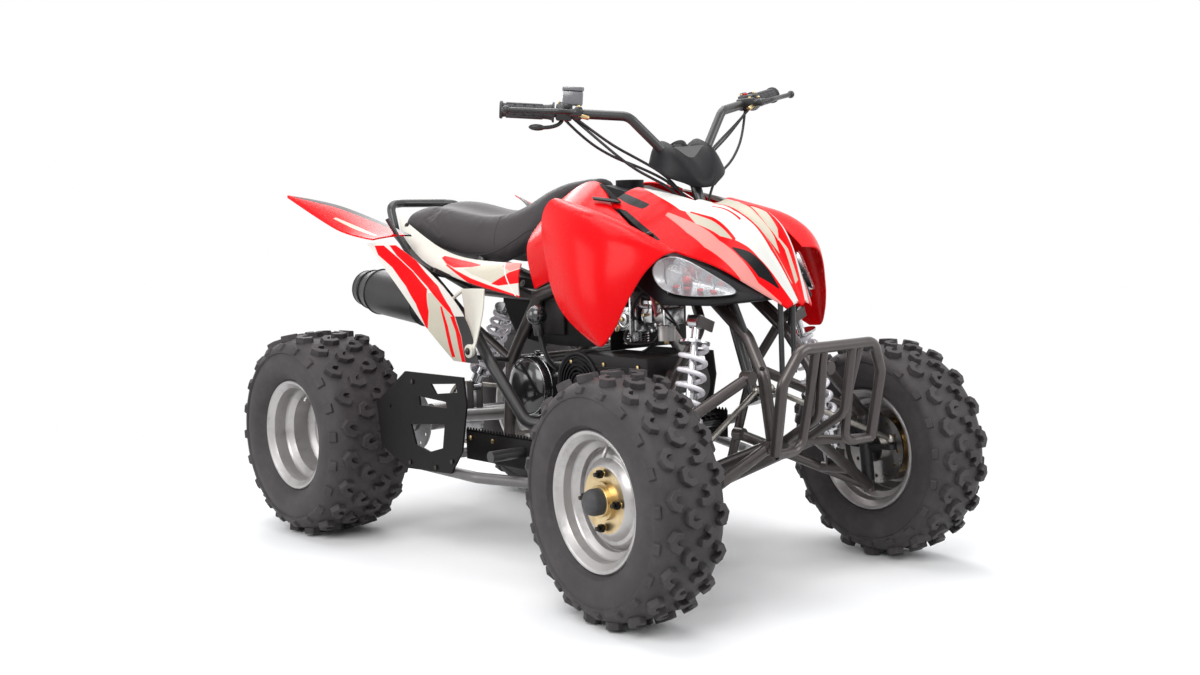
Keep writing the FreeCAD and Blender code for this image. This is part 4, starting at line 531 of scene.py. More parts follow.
def outward(item, merge=0.0):
    """Turn every face outwards, after merging doubles where a distance is given."""
    editing(item)
    if merge:
        bpy.ops.mesh.remove_doubles(threshold=merge)
    bpy.ops.mesh.normals_make_consistent(inside=False)
    done()


def smooth(item, degrees=35):
    only(item)
    bpy.ops.object.shade_smooth_by_angle(angle=math.radians(degrees))


def modifier(item, kind, **settings):
    """Add a modifier, set it and apply it."""
    only(item)
    bpy.ops.object.modifier_add(type=kind)
    new = item.modifiers[-1]
    for key, value in settings.items():
        setattr(new, key, value)
    if kind == "SUBSURF":
        new.render_levels = new.levels
    bpy.ops.object.modifier_apply(modifier=new.name)


def bevelled(item, width, segments=2, degrees=30):
    modifier(item, "BEVEL", width=width, segments=segments, limit_method="ANGLE",
             angle_limit=math.radians(degrees), harden_normals=False)


def joined(name, items):
    only(items[0])
    for item in items:
        item.select_set(True)
    if len(items) > 1:
        bpy.ops.object.join()
    items[0].name = items[0].data.name = name
    return items[0]


def copied(item, matrix):
    """A copy with its own mesh, moved by the matrix."""
    twin = item.copy()
    twin.data = item.data.copy()
    twin.data.transform(matrix)
    return linked(twin)


def mirrored(item, name):
    twin = copied(item, Matrix.Scale(-1, 4, Y_AXIS))
    twin.name = name
    twin.data.flip_normals()
    return twin


def finished(item, slot, look=None, body="chassis", replaces=()):
    """Give a piece its material, by its look or else by its slot, and its body."""
    item.data.materials.clear()
    item.data.materials.append(material(look or slot))
    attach(item, body)
    if replaces:
        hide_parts(*replaces)
    return item


def dressed(name, items, slot, look=None, body="chassis", degrees=35, replaces=()):
    """One finished piece out of several shapes."""
    whole = joined(name, items)
    smooth(whole, degrees)
    return finished(whole, slot, look, body, replaces)


def paired(name, items, slot, look=None, degrees=SOFT_ANGLE, replaces=()):
    """A left piece out of several shapes, and its mirror image on the right."""
    left = joined(name + "_left", items)
    for item in (left, mirrored(left, name + "_right")):
        dressed(item.name, [item], slot, look, "chassis", degrees, replaces)


def frame_of(origin, axis):
    """A matrix whose Z is the axis and whose X lies near the forward way, or up where the axis itself runs forward."""
    z = axis.normalized()
    y = z.cross(X_AXIS if abs(z.x) < ALONG_X else Z_AXIS).normalized()
    return Matrix.Translation(origin) @ Matrix((y.cross(z), y, z)).transposed().to_4x4()


def turned(line, steps=None, closed=False):
    """A ring drawn out and widened step by step along (height, radius) pairs about Z."""
    height, radius = line[0]
    item = added(bpy.ops.mesh.primitive_circle_add, vertices=steps or sizes().round_steps, radius=radius)
    item.data.transform(Matrix.Translation((0, 0, height)))
    editing(item)
    for next_height, next_radius in line[1:]:
        bpy.ops.mesh.extrude_region_move(TRANSFORM_OT_translate={"value": (0, 0, next_height - height)})
        share = next_radius / radius
        bpy.ops.transform.resize(value=(share, share, 1), center_override=(0, 0, next_height))
        height, radius = next_height, next_radius
    done()
    outward(item, MERGE)
    if closed:
        editing(item)
        bpy.ops.mesh.region_to_loop()
        bpy.ops.mesh.fill_holes(sides=0)
        done()
        outward(item)
    return item


def disc_bar(start, end, radius, steps=24, bevel=0.0):
    """A round bar between two points."""
    way = end - start
    item = added(bpy.ops.mesh.primitive_cylinder_add, vertices=steps, radius=radius, depth=way.length)
    item.data.transform(frame_of((start + end) / 2, way))
    if bevel:
        bevelled(item, bevel)
    return item


def nut(spot, axis, radius, height, sides=6):
    """A bolt head standing on a face."""
    return disc_bar(spot, spot + axis.normalized() * height, radius, sides, radius * NUT_BEVEL)


def hose(points, radius, steps=12):
    """A smooth round run through guide points, made a mesh."""
    curve = bpy.data.curves.new("hose", "CURVE")
    curve.dimensions = "3D"
    line = curve.splines.new("NURBS")
    line.points.add(len(points) - 1)
    for spot, point in zip(line.points, points):
        spot.co = (*point, 1)
    line.order_u = min(3, len(points))
    line.use_endpoint_u = True
    line.resolution_u = CURVE_STEPS
    curve.bevel_depth = radius
    curve.bevel_resolution = steps // 4
    curve.use_fill_caps = True
    only(linked(bpy.data.objects.new("hose", curve)))
    bpy.ops.object.convert(target="MESH")
    item = bpy.context.object
    outward(item, MERGE)
    smooth(item, SOFT_ANGLE)
    return item


def sheet_of(rows, wall, push, levels=3):
    """A moulded panel: a grid drawn over rows of places, subdivided smooth, then given its wall."""
    width = len(rows[0])
    item = added(bpy.ops.mesh.primitive_grid_add, x_subdivisions=width - 1, y_subdivisions=len(rows) - 1, size=1)
    for index, vertex in enumerate(item.data.vertices):
        vertex.co = rows[index // width][index % width]
    modifier(item, "SUBSURF", levels=levels, boundary_smooth="PRESERVE_CORNERS")
    outward(item)
    middle = item.data.polygons[len(item.data.polygons) // 2]
    if middle.normal.dot(push) > 0:
        item.data.flip_normals()
    modifier(item, "SOLIDIFY", thickness=wall, offset=-1)
    bevelled(item, wall * WALL_BEVEL, 2, 60)
    smooth(item, SOFT_ANGLE)
    return item


def fan(outline, crown):
    """Triangles from a crown out to an outline."""
    item = added(bpy.ops.mesh.primitive_circle_add, vertices=len(outline), radius=1, fill_type="TRIFAN")
    edge = iter(outline)
    for vertex in item.data.vertices:
        vertex.co = next(edge) if vertex.co.length > 0.5 else crown
    return item


def domed(outline, crown, wall):
    """A domed sheet over an outline, its crown at the given place, with its own wall."""
    item = fan(outline, crown)
    modifier(item, "SUBSURF", levels=3, boundary_smooth="ALL")
    modifier(item, "SOLIDIFY", thickness=wall, offset=0)
    outward(item, MERGE)
    smooth(item, SOFT_ANGLE)
    return item


def block(size, bevel, where):
    """A box with rounded edges, at a place or under a matrix."""
    item = added(bpy.ops.mesh.primitive_cube_add, size=1)
    item.data.transform(Matrix.Diagonal((*size, 1)))
    bevelled(item, bevel)
    item.data.transform(Matrix.Translation(where) if isinstance(where, Vector) else where)
    return item


def ball(centre, radius, stretch=(1, 1, 1)):
    item = added(bpy.ops.mesh.primitive_uv_sphere_add, segments=32, ring_count=16, radius=radius)
    item.data.transform(Matrix.Translation(centre) @ Matrix.Diagonal((*stretch, 1)))
    return item


def ring(centre, axis, radius, thickness, steps=48):
    item = added(bpy.ops.mesh.primitive_torus_add, major_radius=radius, minor_radius=thickness,
                 major_segments=steps, minor_segments=8)
    item.data.transform(frame_of(centre, axis))
    return item


def softened(name, node, width, segments=2):
    """A copy of a solid with its edges rounded."""
    item = linked(bpy.data.objects.new(name, frame["nodes"][node].data.copy()))
    item.data.name = name
    editing(item)
    bpy.ops.mesh.remove_doubles(threshold=MERGE * 2)
    bpy.ops.mesh.dissolve_limited(angle_limit=math.radians(1))
    bpy.ops.mesh.normals_make_consistent(inside=False)
    done()
    bevelled(item, width, segments)
    smooth(item, SOFT_ANGLE)
    return item


# Stage

CAMERA_SHARES = (2.62818, -1.82081, 0.6536)
LIGHT_TARGET = Vector((0.1, 0, 0.45))
FLOOR_FADE = (0.9, 1.9)
# Soft boxes: name, place, size and share of the light's strength
SOFT_BOXES = (
    ("key_box", (2.2, -3.6, 3.6), 3, 6),
    ("fill_box", (4.2, 2, 2.6), 3, 3.4),
    ("top_box", (-0.4, 0.2, 4.2), 3.4, 4),
    ("back_box", (-3.6, 1.6, 2.8), 2.6, 2.6),
    ("side_box", (-1.8, -4, 1.8), 2.4, 2),
)
SKY = ((0.92, 0.95, 1, 1), 0.45)
WHITE = ((1, 1, 1, 1), 1)


class QUAD_OT_stage(bpy.types.Operator):
    """Pale floor, soft boxes and the camera"""
    bl_idname = "quad.stage"
    bl_label = "Stage"

    def execute(self, context):
        self.floor()
        self.lights()
        self.world()
        self.camera()
        context.scene.view_settings.view_transform = "Standard"
        return {"FINISHED"}

    def floor(self):
        item = added(bpy.ops.mesh.primitive_plane_add, "floor", size=60)
        f = Finish("studio_floor")
        mottle = f.mix(f.noise(3), (0.93, 0.93, 0.93, 1), (0.96, 0.96, 0.96, 1))
        reach = f.node("ShaderNodeVectorMath", {"operation": "LENGTH"}, {0: f.coords}, 1)
        item.data.materials.append(f.surface(mottle, 0.7, Specular_IOR_Level=0.1,
                                             Alpha=1.0 - f.ramp(reach, *FLOOR_FADE)))

    def lights(self):
        for name, spot, size, share in SOFT_BOXES:
            item = added(bpy.ops.object.light_add, name, type="AREA", location=spot)
            item.data.size = size
            item.data.energy = stage_values().light * share
            item.rotation_euler = (LIGHT_TARGET - Vector(spot)).to_track_quat("-Z", "Y").to_euler()

    def world(self):
        """A soft sky for the lighting, plain white where the camera, gloss or glass sees it."""
        world = bpy.context.scene.world = bpy.data.worlds.new("studio")
        world.use_nodes = True
        nodes, links = world.node_tree.nodes, world.node_tree.links
        nodes.clear()
        path = nodes.new("ShaderNodeLightPath")
        seen = path.outputs["Is Camera Ray"]
        for ray in ("Is Glossy Ray", "Is Transmission Ray"):
            either = nodes.new("ShaderNodeMath")
            either.operation = "MAXIMUM"
            links.new(seen, either.inputs[0])
            links.new(path.outputs[ray], either.inputs[1])
            seen = either.outputs[0]
        blend = nodes.new("ShaderNodeMixShader")
        links.new(seen, blend.inputs[0])
        for slot, (colour, strength) in enumerate((SKY, WHITE), 1):
            shade = nodes.new("ShaderNodeBackground")
            shade.inputs["Color"].default_value = colour
            shade.inputs["Strength"].default_value = strength
            links.new(shade.outputs[0], blend.inputs[slot])
        links.new(blend.outputs[0], nodes.new("ShaderNodeOutputWorld").inputs[0])

    def camera(self):
        values = stage_values()
        yaw, pitch, roll = values.yaw, values.pitch, values.roll
        look = Vector((-math.sin(yaw) * math.cos(pitch), math.cos(yaw) * math.cos(pitch), -math.sin(pitch)))
        side = look.cross(Z_AXIS).normalized()
        up = side.cross(look)
        right = side * math.cos(roll) + up * math.sin(roll)
        top = up * math.cos(roll) - side * math.sin(roll)
        spot = REAR_AXLE + WHEELBASE * Vector(CAMERA_SHARES)
        spot.z = WHEELBASE * CAMERA_SHARES[2]
        item = added(bpy.ops.object.camera_add, "camera")
        item.matrix_world = Matrix.Translation(spot) @ Matrix((right, top, -look)).transposed().to_4x4()
        item.data.lens = values.lens
        item.data.clip_end = 100
        bpy.context.scene.camera = item


# Wheels

RIM_RADIUS = 0.143
BEAD_RADIUS = 0.127
WELL_RADIUS = 0.108
RIM_LIP = 0.0022
RIM_WALL = 0.003
TYRE_WALL = 0.006
FRONT_DISH = ((0.04, 0.028), (0.04, 0.062), (0.0405, 0.07), (0.034, 0.078), (0.026, 0.084), (0.0255, 0.092),
              (0.02, 0.098), (0.012, 0.104), (0.012, 0.1085))
REAR_DISH = ((-0.03, 0.028), (-0.03, 0.066), (-0.026, 0.074), (-0.019, 0.08), (-0.018, 0.088), (-0.01, 0.1),
             (-0.006, 0.1085))
FRONT_TYRE = {"radius": 0.26, "width": 0.174, "rim": 0.136, "dish": FRONT_DISH}
REAR_TYRE = {"radius": 0.271, "width": 0.248, "rim": 0.196, "dish": REAR_DISH}
# Half of the carcass outline from the middle of the tread: shares of the half width and of the side wall
CARCASS_SHARES = (
    (0, 0), (0.35, 0.005), (0.62, 0.03), (0.8, 0.09), (0.9, 0.17), (0.955, 0.24), (0.965, 0.29), (0.935, 0.31),
    (0.965, 0.4), (0.985, 0.52), (0.965, 0.68), (0.9, 0.79),
)
# Outer and inner line of one hooked knob, in shares of its length and width
LUG_SHARES = (
    ((-0.5, -0.28), (-0.42, 0.18), (-0.05, 0.5), (0.42, 0.3), (0.5, -0.12)),
    ((-0.16, -0.42), (-0.12, -0.04), (0.02, 0.12), (0.18, 0.02), (0.2, -0.26)),
)
# Rows of lugs: place across the half tread, phase and turn; the shoulder row has none
LUG_ROWS = ((0.2, 0, math.radians(20)), (0.6, 0.5, math.radians(-15)), (0.915, 0.25, None))
LUG_TURN = Matrix(((0, 0, 1, 0), (1, 0, 0, 0), (0, 1, 0, 0), (0, 0, 0, 1)))
LUG_ROOT = 0.35
LUG_TAPER = (0.93, 0.93, 1)
SHOULDER_TAPER = (0.72, 0.8, 1)
# Length in shares of the pitch, width in shares of the half tread, height in shares of the lug height
KNOB_SHARES = (0.56, 0.42, 1)
SHOULDER_SHARES = (0.34, 0.2, 0.9)


def front_matrix(name, side):
    spin = JOINTS["roll_front_" + name]
    return frame_of(Vector(spin["pos_m"]), Vector(spin["axis"]) * side)


def wheels():
    """Every wheel's name, body, pattern of its solids' names, tyre and matrix."""
    front = [("front_" + name, "front_wheel_" + name, "front_{}_" + name, FRONT_TYRE, front_matrix(name, side))
             for name, side in SIDES]
    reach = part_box("rear_tyres")[1].y - REAR_TYRE["width"] / 2
    rear = [("rear_" + name, "rear_wheels", "rear_{}s", REAR_TYRE,
             frame_of(Vector((REAR_AXLE.x, side * reach, REAR_AXLE.z)), Y_AXIS * side)) for name, side in SIDES]
    return front + rear


def tread_line(tyre):
    """Half of the carcass outline from the middle of the tread to the bead: (across, radius)."""
    half, rim = tyre["width"] / 2, tyre["rim"] / 2
    base = tyre["radius"] - sizes().lug_height
    side = tyre["radius"] - RIM_RADIUS
    return [(half * across, base - side * depth) for across, depth in CARCASS_SHARES] + [
        (rim - 0.004, RIM_RADIUS + 0.003), (rim - 0.006, RIM_RADIUS - 0.004), (rim - 0.01, BEAD_RADIUS + 0.001)]


def on_tread(tyre, across):
    """Radius of the carcass and its lean at a place across the tread."""
    line = tread_line(tyre)
    (a0, r0), (a1, r1) = next(pair for pair in zip(line, line[1:]) if across <= pair[1][0])
    share = (across - a0) / (a1 - a0)
    return r0 + (r1 - r0) * share, math.atan2(r0 - r1, a1 - a0)


def hooked_lug(length, width, height):
    """A bent bar whose outer and inner lines run side by side, narrower at its top."""
    outer, inner = LUG_SHARES
    item = added(bpy.ops.mesh.primitive_grid_add, x_subdivisions=len(outer) - 1, y_subdivisions=1, size=1)
    for vertex, (x, y) in zip(item.data.vertices, outer + inner):
        vertex.co = (x * length, y * width, -height * LUG_ROOT)
    editing(item)
    bpy.ops.mesh.extrude_region_move(TRANSFORM_OT_translate={"value": (0, 0, height * (1 + LUG_ROOT))})
    bpy.ops.transform.resize(value=LUG_TAPER, center_override=(0, 0, height))
    done()
    outward(item)
    bevelled(item, height * 0.08, 1, 40)
    return item


def shoulder_lug(length, width, height):
    item = added(bpy.ops.mesh.primitive_cube_add, size=1)
    item.data.transform(Matrix.Diagonal((length, width, height, 1)))
    editing(item)
    pick(item, lambda centre, normal: normal.z > 0.9)
    bpy.ops.transform.resize(value=SHOULDER_TAPER)
    done()
    bevelled(item, height * 0.1, 1, 40)
    return item


def tyre_shapes(tyre):
    """Carcass with its side ring, then rows of hooked knobs and shoulder blocks round it."""
    half = tread_line(tyre)
    carcass = turned([(-across, radius) for across, radius in half[:0:-1]] + half)
    modifier(carcass, "SOLIDIFY", thickness=TYRE_WALL, offset=-1)
    smooth(carcass, 32)
    height, count = sizes().lug_height, sizes().lug_count
    width = tyre["width"] / 2
    pitch = math.tau * tyre["radius"] / count
    unit = (pitch, width, height)
    knob = hooked_lug(*(share * step for share, step in zip(KNOB_SHARES, unit)))
    corner = shoulder_lug(*(share * step for share, step in zip(SHOULDER_SHARES, unit)))
    items = [carcass]
    for share, phase, spin in LUG_ROWS:
        across = width * share
        radius, lean = on_tread(tyre, across)
        for index in range(count):
            for side in (1, -1):
                angle = math.tau * (index + phase + (0.5 if side < 0 else 0)) / count
                items.append(copied(corner if spin is None else knob,
                                    Matrix.Rotation(angle, 4, Z_AXIS)
                                    @ Matrix.Translation((radius, 0, side * across))
                                    @ Matrix.Rotation(-side * lean, 4, Y_AXIS)
                                    @ LUG_TURN
                                    @ Matrix.Diagonal((1, side, 1, 1))
                                    @ Matrix.Rotation(spin or 0, 4, Z_AXIS)))
                if side < 0:
                    items[-1].data.flip_normals()
    for spare in (knob, corner):
        bpy.data.objects.remove(spare)
    return items


def rim_shapes(tyre):
    """Pressed rim: rolled flanges, bead seats, drop well and the stepped disc."""
    half = tyre["rim"] / 2
    line = [
        (half - 0.006, RIM_RADIUS - 0.001), (half - 0.002, RIM_RADIUS + RIM_LIP), (half + 0.001, RIM_RADIUS),
        (half - 0.001, RIM_RADIUS - 0.005), (half - 0.006, BEAD_RADIUS + 0.006), (half - 0.012, BEAD_RADIUS - 0.001),
        (half * 0.56, BEAD_RADIUS - 0.003), (half * 0.5, BEAD_RADIUS - 0.006), (half * 0.38, WELL_RADIUS),
    ]
    items = []
    for run, edge in ((line + [(-height, radius) for height, radius in line[::-1]], 0.0015), (tyre["dish"], 0.0016)):
        items.append(turned(run))
        modifier(items[-1], "SOLIDIFY", thickness=RIM_WALL, offset=0)
        bevelled(items[-1], edge, 3, 20)
    valve = (Vector((0, WELL_RADIUS + 0.002, half * 0.42)), Vector((0, WELL_RADIUS - 0.022, half * 0.62)))
    return items + [disc_bar(*valve, 0.0045, 16, 0.001)]


class QUAD_OT_tyres(bpy.types.Operator):
    """Knobbly tyres, front and rear"""
    bl_idname = "quad.tyres"
    bl_label = "Tyres"

    def execute(self, context):
        for name, body, nodes, tyre, matrix in wheels():
            item = joined("tread_" + name, tyre_shapes(tyre))
            item.data.transform(matrix)
            finished(item, "tyre_rubber", None, body, (nodes.format("tyre"),))
        return {"FINISHED"}


class QUAD_OT_rims(bpy.types.Operator):
    """Silver pressed rims"""
    bl_idname = "quad.rims"
    bl_label = "Rims"

    def execute(self, context):
        for name, body, nodes, tyre, matrix in wheels():
            item = joined("rim_" + name, rim_shapes(tyre))
            smooth(item, 30)
            item.data.transform(matrix)
            finished(item, "silver_rim", None, body, (nodes.format("rim"),))
        return {"FINISHED"}

# Seat

SEAM_STEPS = 24
PUFF_STEPS = 20
PUFF_CAP = 0.006
PUFF_PRESSURE = 4
VOXEL = 0.006
EDGE_ROUNDING = 0.004


class QUAD_OT_seat(bpy.types.Operator):
    """Padded saddle with its cross seam"""
    bl_idname = "quad.seat"
    bl_label = "Seat"

    def execute(self, context):
        cushion = softened("saddle", "seat", EDGE_ROUNDING)
        modifier(cushion, "REMESH", mode="VOXEL", voxel_size=VOXEL)
        modifier(cushion, "SMOOTH", factor=0.5, iterations=8)
        self.puff(cushion, context.scene)
        modifier(cushion, "SUBSURF", levels=1)
        smooth(cushion, 60)
        finished(cushion, "seat_vinyl", replaces=("seat",))
        self.seams(cushion)
        return {"FINISHED"}

    def puff(self, item, scene):
        """Blow the cover up a little from inside, each point by no more than the cap."""
        only(item)
        bpy.ops.object.modifier_add(type="CLOTH")
        cloth = item.modifiers[-1]
        cloth.settings.use_pressure = True
        cloth.settings.uniform_pressure_force = PUFF_PRESSURE
        cloth.settings.effector_weights.gravity = 0
        for step in range(1, PUFF_STEPS + 1):
            scene.frame_set(step)
        shape = item.evaluated_get(bpy.context.evaluated_depsgraph_get()).data
        spots = [vertex.co.copy() for vertex in shape.vertices]
        item.modifiers.remove(cloth)
        scene.frame_set(1)
        for vertex, spot in zip(item.data.vertices, spots):
            old = vertex.co.copy()
            move = spot - old
            if move.length > PUFF_CAP:
                move *= PUFF_CAP / move.length
            vertex.co = old + move

    def seams(self, cushion):
        """Fine piping across the saddle and along both lower edges, laid on the cover."""
        def laid(guesses, radius, lift=0.0):
            found = [cushion.closest_point_on_mesh(guess) for guess in guesses]
            return hose([spot + normal * lift for hit, spot, normal, face in found], radius)

        shares = [index / SEAM_STEPS for index in range(SEAM_STEPS + 1)]
        across = [2 * share - 1 for share in shares]
        items = [laid([place(380 + 12 * abs(s), 312 * s, 860 - 100 * s * s) for s in across], 0.0011, 0.0002)]
        for side in (1, -1):
            edge = [place(20 + 560 * s, side * 360, 790 - 85 * math.sin(math.pi * min(1, s * 1.15)))
                    for s in shares]
            items.append(laid(edge, 0.0015))
        dressed("seat_piping", items, "seat_vinyl")


# Handlebar and its controls

STEM_FOOT = place(1208, 0, 413)
STEM_TOP = place(1016, 0, 944)
STEM_AXIS = (STEM_TOP - STEM_FOOT).normalized()
REST_STEER = math.radians(-12)
BARS_TURN = (Matrix.Translation(STEM_FOOT) @ Matrix.Rotation(REST_STEER, 4, STEM_AXIS)
             @ Matrix.Translation(-STEM_FOOT))
BAR_END = (842, 955, 1101)
BAR_BEND = (973, 325, 1064)
# The grip's outline from the bar's end inward: (along, radius), with four ribs between shallow grooves
GRIP_RIBS = [(start + step, radius) for start in (0.009, 0.031, 0.053, 0.075)
             for step, radius in ((0, 0.0172), (0.017, 0.0172), (0.018, 0.016), (0.021, 0.016))][:-1]
GRIP_LINE = [
    (-0.006, 0.004), (-0.006, 0.0185), (-0.0035, 0.02), (0, 0.02), (0.002, 0.016), (0.008, 0.0155), *GRIP_RIBS,
    (0.104, 0.0165), (0.112, 0.018), (0.114, 0.023), (0.118, 0.023), (0.118, 0.0115),
]
CABLE_ROUTES = (
    ((930, 625, 1073), (935, 520, 1040), (935, 380, 1000), (950, 240, 965), (978, 130, 930),
     (1010, 65, 885), (1046, 33, 828)),
    ((905, 640, 1066), (905, 520, 1018), (915, 360, 975), (940, 210, 945), (975, 90, 910),
     (1015, 30, 868), (1047, -5, 826)),
    ((900, 640, 1090), (960, 500, 1010), (990, 360, 950), (1000, 240, 920), (1020, 130, 890),
     (1048, 28, 826)),
)
# Places at the bars count from the bar's end: inward along the bar, forward and up
SWITCH_BOX = 0.14
HOUSING_BLOCKS = (
    ((SWITCH_BOX, 0.001, 0.001), (0.041, 0.037, 0.038), 0.005),
    ((SWITCH_BOX, 0.001, 0), (0.043, 0.034, 0.002), 0.0006),
    ((SWITCH_BOX - 0.002, -0.012, 0.021), (0.012, 0.018, 0.008), 0.002),
    ((0.172, 0.01, 0), (0.046, 0.018, 0.028), 0.004),
    ((0.164, 0.04, 0), (0.03, 0.03, 0.016), 0.004),
    ((SWITCH_BOX + 0.006, 0.018, 0.014), (0.016, 0.014, 0.012), 0.002),
)
BUTTONS = (
    ((SWITCH_BOX - 0.004, -0.021, 0.008), (0.006, 0.01, 0.008), 0.0015),
    ((SWITCH_BOX + 0.006, -0.002, 0.0215), (0.009, 0.009, 0.005), 0.0015),
)
LEVER_LINE = ((0.166, 0.046, 0), (0.14, 0.06, 0.001), (0.11, 0.058, 0), (0.07, 0.054, -0.001), (0.01, 0.056, -0.002))
THROTTLE_LINE = ((0.136, 0.004, -0.018), (0.128, 0.012, -0.034), (0.092, 0.016, -0.036))
ADJUSTER_LINE = ((0.166, 0.03, -0.004), (0.196, 0.026, -0.01))
CONTROL_BOLTS = ((0.128, 0.012, 0.0205), (0.158, -0.008, 0.0205), (0.172, 0.02, 0.0125), (0.172, 0.044, 0.0125))
RESERVOIR = 0.158
THROTTLE_SIDE = -1


def grip_frame(side):
    """The bar end before the bars are turned: X forward, Y to the left, Z up."""
    end, bend = [y_times(spot, side) for spot in places((BAR_END, BAR_BEND))]
    left = (end - bend).normalized() * side
    ahead = left.cross(Z_AXIS).normalized()
    return Matrix.Translation(end) @ Matrix((ahead, left, ahead.cross(left))).transposed().to_4x4()


def on_bar(side, along, ahead, up):
    return grip_frame(side) @ Vector((ahead, -side * along, up))


def along_bar(side, line):
    return [on_bar(side, *spot) for spot in line]


def bar_block(side, spot, size, bevel=0.002):
    along, ahead, up = spot
    return block(size, bevel, grip_frame(side) @ Matrix.Translation((ahead, -side * along, up)))


def bar_piece(name, items, slot, look=None, replaces=()):
    whole = joined(name, items)
    whole.data.transform(BARS_TURN)
    dressed(name, [whole], slot, look, "steering", replaces=replaces)


class QUAD_OT_grips(bpy.types.Operator):
    """Ribbed rubber grips"""
    bl_idname = "quad.grips"
    bl_label = "Grips"

    def execute(self, context):
        for name, side in SIDES:
            pads = [block((0.003, 0.006, 0.082), 0.0008,
                          Matrix.Rotation(angle, 4, Z_AXIS) @ Matrix.Translation((0.0168, 0, 0.05)))
                    for angle in angles(6)]
            whole = joined("grip", [turned(GRIP_LINE, 48)] + pads)
            matrix = grip_frame(side)
            whole.data.transform(frame_of(matrix.translation, matrix.col[1].to_3d() * -side))
            bar_piece("grip_" + name, [whole], "grip_rubber", replaces=("grips",))
        return {"FINISHED"}


class QUAD_OT_controls(bpy.types.Operator):
    """Switch boxes, brake levers, thumb throttle and brake fluid reservoir"""
    bl_idname = "quad.controls"
    bl_label = "Controls"

    def execute(self, context):
        for name, side in SIDES:
            lever = along_bar(side, LEVER_LINE)
            items = [bar_block(side, *shape) for shape in HOUSING_BLOCKS]
            items += [hose(lever, 0.0058, 16), ball(lever[-1], 0.0095), ball(lever[0], 0.01)]
            if side == THROTTLE_SIDE:
                items += self.throttle(side)
            bar_piece("controls_" + name, items, "control_alloy", replaces=("controls",))
            buttons = [bar_block(side, *shape) for shape in BUTTONS]
            bar_piece("buttons_" + name, buttons, "control_alloy", "red_button")
            fittings = [nut(spot, Z_AXIS, 0.0035, 0.004) for spot in along_bar(side, CONTROL_BOLTS)]
            fittings.append(disc_bar(*along_bar(side, ADJUSTER_LINE), 0.005, 16, 0.0008))
            bar_piece("control_bolts_" + name, fittings, "bright_alloy", "gold_zinc")
        self.reservoir(THROTTLE_SIDE)
        return {"FINISHED"}

    def throttle(self, side):
        pad = ball(Vector(), 0.01, (0.8, 1.9, 0.75))
        pad.data.transform(grip_frame(side) @ Matrix.Translation((0.016, -side * 0.08, -0.036)))
        return [hose(along_bar(side, THROTTLE_LINE), 0.0045, 16), pad]

    def reservoir(self, side):
        tank = bar_block(side, (RESERVOIR, 0, 0.033), (0.044, 0.046, 0.032), 0.004)
        bar_piece("reservoir", [tank], "bright_alloy", "grey_gloss")
        lid = [bar_block(side, (RESERVOIR, 0, 0.054), (0.047, 0.049, 0.009))]
        for shift in (-0.015, 0.015):
            lid.append(nut(on_bar(side, RESERVOIR + shift, 0, 0.058), Z_AXIS, 0.003, 0.002, 12))
        bar_piece("reservoir_lid", lid, "bright_alloy", "grey_gloss")


POD_ROWS = (
    ((978, 280, 950), (976, 235, 994), (976, 150, 1010), (980, 60, 990), (982, 0, 982)),
    ((1012, 300, 940), (1022, 235, 980), (1026, 150, 994), (1020, 60, 974), (1018, 0, 966)),
    ((1044, 260, 918), (1052, 195, 938), (1058, 130, 946), (1054, 60, 938), (1052, 0, 934)),
    ((1064, 140, 902), (1070, 110, 908), (1076, 80, 910), (1078, 40, 906), (1078, 0, 904)),
    ((1066, 100, 892), (1070, 80, 892), (1074, 60, 891), (1076, 30, 890), (1076, 0, 890)),
)
POD_NARROWING = 0.8


class QUAD_OT_pod(bpy.types.Operator):
    """Black cowl with two humps in front of the bars, and the cables behind it"""
    bl_idname = "quad.pod"
    bl_label = "Instrument pod"

    def execute(self, context):
        rows = []
        for row in POD_ROWS:
            left = [y_times(point, POD_NARROWING) for point in places(row)]
            rows.append(left + [y_times(point, -1) for point in left[-2::-1]])
        shell = sheet_of(rows, 0.006, Vector((-1, 0, -1)), 2)
        dial = disc_bar(place(962, 0, 986), place(978, 0, 968), 0.026, 48, 0.002)
        face = block((0.04, 0.15, 0.012), 0.003, frame_of(place(1020, 0, 940), Vector((0.5, 0, 1))))
        bar_piece("pod", [shell, dial, face], "black_plastic", replaces=("instrument_pod",))
        clamps = []
        for side in (1, -1):
            spot = place(1006, side * 70, 962)
            clamps.append(block((0.034, 0.022, 0.03), 0.003, frame_of(spot + STEM_AXIS * 0.012, STEM_AXIS)))
            for shift in (-0.011, 0.011):
                clamps.append(nut(spot + STEM_AXIS * 0.026 + X_AXIS * shift, STEM_AXIS, 0.004, 0.005))
        bar_piece("bar_clamps", clamps, "black_tube")
        cables = [hose([y_times(point, side) for point in places(route)], 0.0032)
                  for route in CABLE_ROUTES for side in (1, -1)]
        bar_piece("bar_cables", cables, "control_alloy", "cable")
        return {"FINISHED"}


# Headlamps

LENS_OUTLINE = (
    (1126, 590, 722), (1142, 555, 738), (1165, 500, 744), (1200, 438, 724), (1240, 362, 692),
    (1290, 280, 656), (1250, 375, 652), (1205, 455, 651), (1172, 520, 656), (1148, 572, 668),
    (1130, 596, 695),
)
LAMP_OUT = Vector((0.62, 0.76, 0.18)).normalized()
# Places of the red glints in the lamps: the small red balls there are painted glints
GLINTS = ((1190, 480, 672), (1212, 435, 668), (1234, 392, 664), (1172, 515, 676))


